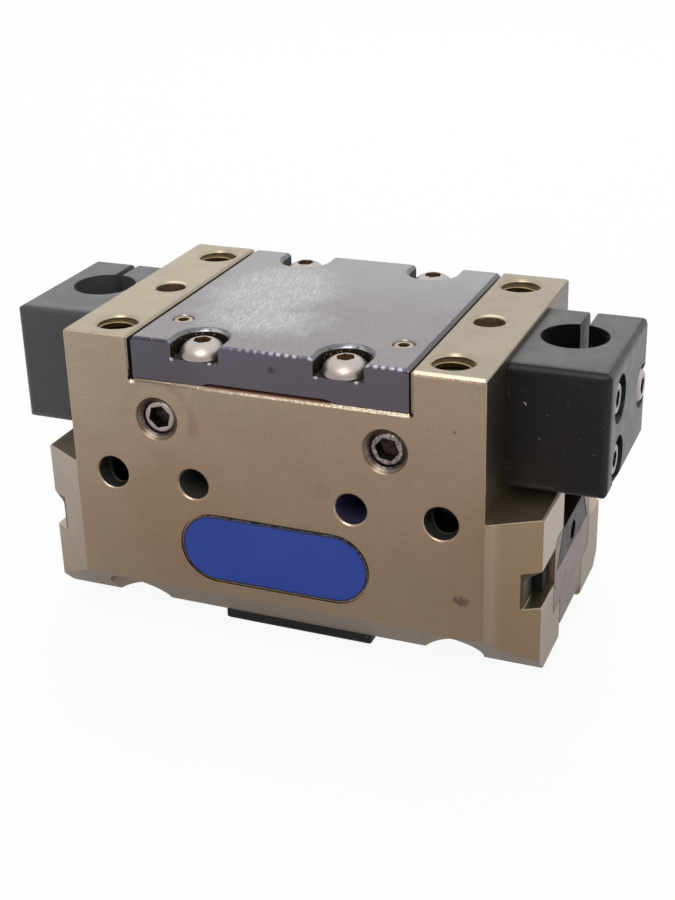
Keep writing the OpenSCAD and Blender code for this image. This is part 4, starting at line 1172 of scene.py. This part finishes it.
AZIMUTH, ELEVATION, ROLL = 22.916, 24.012, -1.757
DISTANCE = 223.18 * MM
TARGET = Vector((0, 0, -20)) * MM
LENS, SENSOR, SHIFT = 60.04, 36, (0.0110, -0.0221)
AMBIENT = 0.55
WARM_DIM, COOL = (0.53, 0.41, 0.36, 1), (0.80, 0.80, 0.88, 1)
PLAIN, BRIGHT = (1.0, 1.0, 1.0, 1), (1.04, 1.05, 1.06, 1)


def place_camera():
    azimuth, elevation, roll = (math.radians(angle) for angle in (AZIMUTH, ELEVATION, ROLL))
    back = Vector((math.sin(azimuth) * math.cos(elevation),
                   -math.cos(azimuth) * math.cos(elevation), math.sin(elevation)))
    data = bpy.data.cameras.new("camera")
    camera = link("camera", data)
    camera.location = TARGET + back * DISTANCE
    turn = (-back).to_track_quat("-Z", "Y").to_matrix().to_4x4()
    camera.rotation_euler = (turn @ turn.Rotation(roll, 4, "Z")).to_euler()
    data.sensor_fit = "VERTICAL"
    data.sensor_height = SENSOR
    data.lens = LENS
    data.shift_x, data.shift_y = SHIFT
    data.clip_start = 0.01
    bpy.context.scene.camera = camera


class Glow(Nodes):
    """Nodes that give the floor and the world one strength to the camera and another to metal."""

    def __init__(self, tree):
        super().__init__(tree)
        paths = self.add("LightPath").outputs
        self.camera = paths["Is Camera Ray"]
        self.metal = self.math("MAXIMUM", paths["Is Glossy Ray"], paths["Is Transmission Ray"])

    def near(self, centre, low, high):
        """0 nearer to a place than low and 1 further than high, in metres."""
        place = self.add("TexCoord").outputs["Object"]
        return self.band(self.measure("DISTANCE", place, centre), low, high)


def floor_finish():
    """Pale floor, white to the camera but for its shadow, and warm and dim in front to metal."""
    material = bpy.data.materials.new("pale floor")
    material.use_nodes = True
    material.node_tree.nodes.clear()
    glow = Glow(material.node_tree)
    matt = glow.add("BsdfDiffuse", {"Color": (0.78, 0.78, 0.77, 1)})
    # Dimmer near the object, as a floor in its shadow is
    shaded = glow.math("MULTIPLY", glow.near((0, 0, 0), 0.03, 0.13), 0.45)
    room = glow.add("Emission", {
        "Color": glow.mix(glow.near((-0.01, -0.09, 0), 0.065, 0.11), WARM_DIM, COOL),
        "Strength": glow.math("ADD", 0.55, shaded)})
    seen, reflected, total = (glow.add("MixShader") for _ in range(3))
    for shader, share, first, second in (
            (seen, glow.math("MULTIPLY", glow.camera, 0.93), matt, glow.add("Emission")),
            (reflected, 0.85, matt, room),
            (total, glow.metal, seen, reflected)):
        for socket, value in enumerate((share, first.outputs[0], second.outputs[0])):
            glow.feed(shader.inputs[socket], value)
    glow.add("OutputMaterial", {"Surface": total.outputs[0]})
    return material


def light_world():
    """White to the camera, an even light on the object, and to metal brighter at the back."""
    world = bpy.data.worlds.new("studio")
    bpy.context.scene.world = world
    world.use_nodes = True
    glow = Glow(world.node_tree)
    place = glow.add("TexCoord").outputs["Generated"]
    lifted = glow.math("MULTIPLY", glow.part("Z", place), 0.5)
    back = glow.band(glow.math("ADD", glow.part("Y", place), lifted), -0.7, 0.55)
    room = glow.mix(back, WARM_DIM, BRIGHT)
    even = glow.mix(glow.camera, (AMBIENT, AMBIENT, AMBIENT, 1), PLAIN)
    background = world.node_tree.nodes["Background"]
    glow.feed(background.inputs["Color"], glow.mix(glow.metal, even, room))
    background.inputs["Strength"].default_value = 1.0


def add_lamp(name, place, aim, size, power, in_metal=True):
    data = bpy.data.lights.new(name, "AREA")
    data.shape = "DISK"
    data.size = size
    data.energy = power
    lamp = link(name, data)
    lamp.visible_glossy = in_metal
    lamp.location = place
    lamp.rotation_euler = (Vector(aim) - Vector(place)).to_track_quat("-Z", "Y").to_euler()


class GRIPPER_OT_stage(bpy.types.Operator):
    """Make the floor, the lamps, the world and the camera"""
    bl_idname = "gripper.stage"
    bl_label = "Stage"

    def execute(self, context):
        place_camera()
        light_world()
        below = 0.00005
        floor = new_shape(bpy.ops.mesh.primitive_plane_add, size=8,
                          location=(0, 0, CAD_BOX[0][2] - below))
        floor.name = "floor"
        settle(floor)
        floor.data.materials.append(floor_finish())
        aim = (0, 0, -0.02)
        add_lamp("front lamp", (0.05, -0.42, 0.5), aim, 0.42, 1.7)
        add_lamp("rear lamp", (-0.15, 0.5, 0.55), aim, 0.5, 3.0, in_metal=False)
        add_lamp("right lamp", (0.6, -0.1, 0.35), aim, 0.35, 0.8, in_metal=False)
        context.scene.view_settings.view_transform = "Standard"
        return {"FINISHED"}


class GRIPPER_PT_sidebar(bpy.types.Panel):
    """The gripper's pieces, sizes and colours in the sidebar"""
    bl_label = "Gripper"
    bl_idname = "GRIPPER_PT_sidebar"
    bl_space_type = "VIEW_3D"
    bl_region_type = "UI"
    bl_category = "Gripper"

    def draw(self, context):
        for operator in OPERATORS:
            self.layout.operator(operator.bl_idname)
        for group in (context.scene.gripper_sizes, context.scene.gripper_colours):
            box = self.layout.box()
            for name in group.__annotations__:
                box.prop(group, name)


OPERATORS = (
    GRIPPER_OT_stage,
    GRIPPER_OT_housing,
    GRIPPER_OT_threads,
    GRIPPER_OT_cover,
    GRIPPER_OT_button_heads,
    GRIPPER_OT_plugs,
    GRIPPER_OT_name_plate,
    GRIPPER_OT_brackets,
    GRIPPER_OT_dust_cover,
    GRIPPER_OT_jaws,
    GRIPPER_OT_wipers,
    GRIPPER_OT_inner_parts,
)
CLASSES = (GripperSizes, GripperColours) + OPERATORS + (GRIPPER_PT_sidebar,)


def register():
    for item in CLASSES:
        bpy.utils.register_class(item)
    bpy.types.Scene.gripper_sizes = bpy.props.PointerProperty(type=GripperSizes)
    bpy.types.Scene.gripper_colours = bpy.props.PointerProperty(type=GripperColours)


def unregister():
    del bpy.types.Scene.gripper_sizes
    del bpy.types.Scene.gripper_colours
    for item in reversed(CLASSES):
        bpy.utils.unregister_class(item)


def main():
    register()
    for operator in OPERATORS:
        group, name = operator.bl_idname.split(".")
        getattr(getattr(bpy.ops, group), name)()


if __name__ == "__main__":
    main()
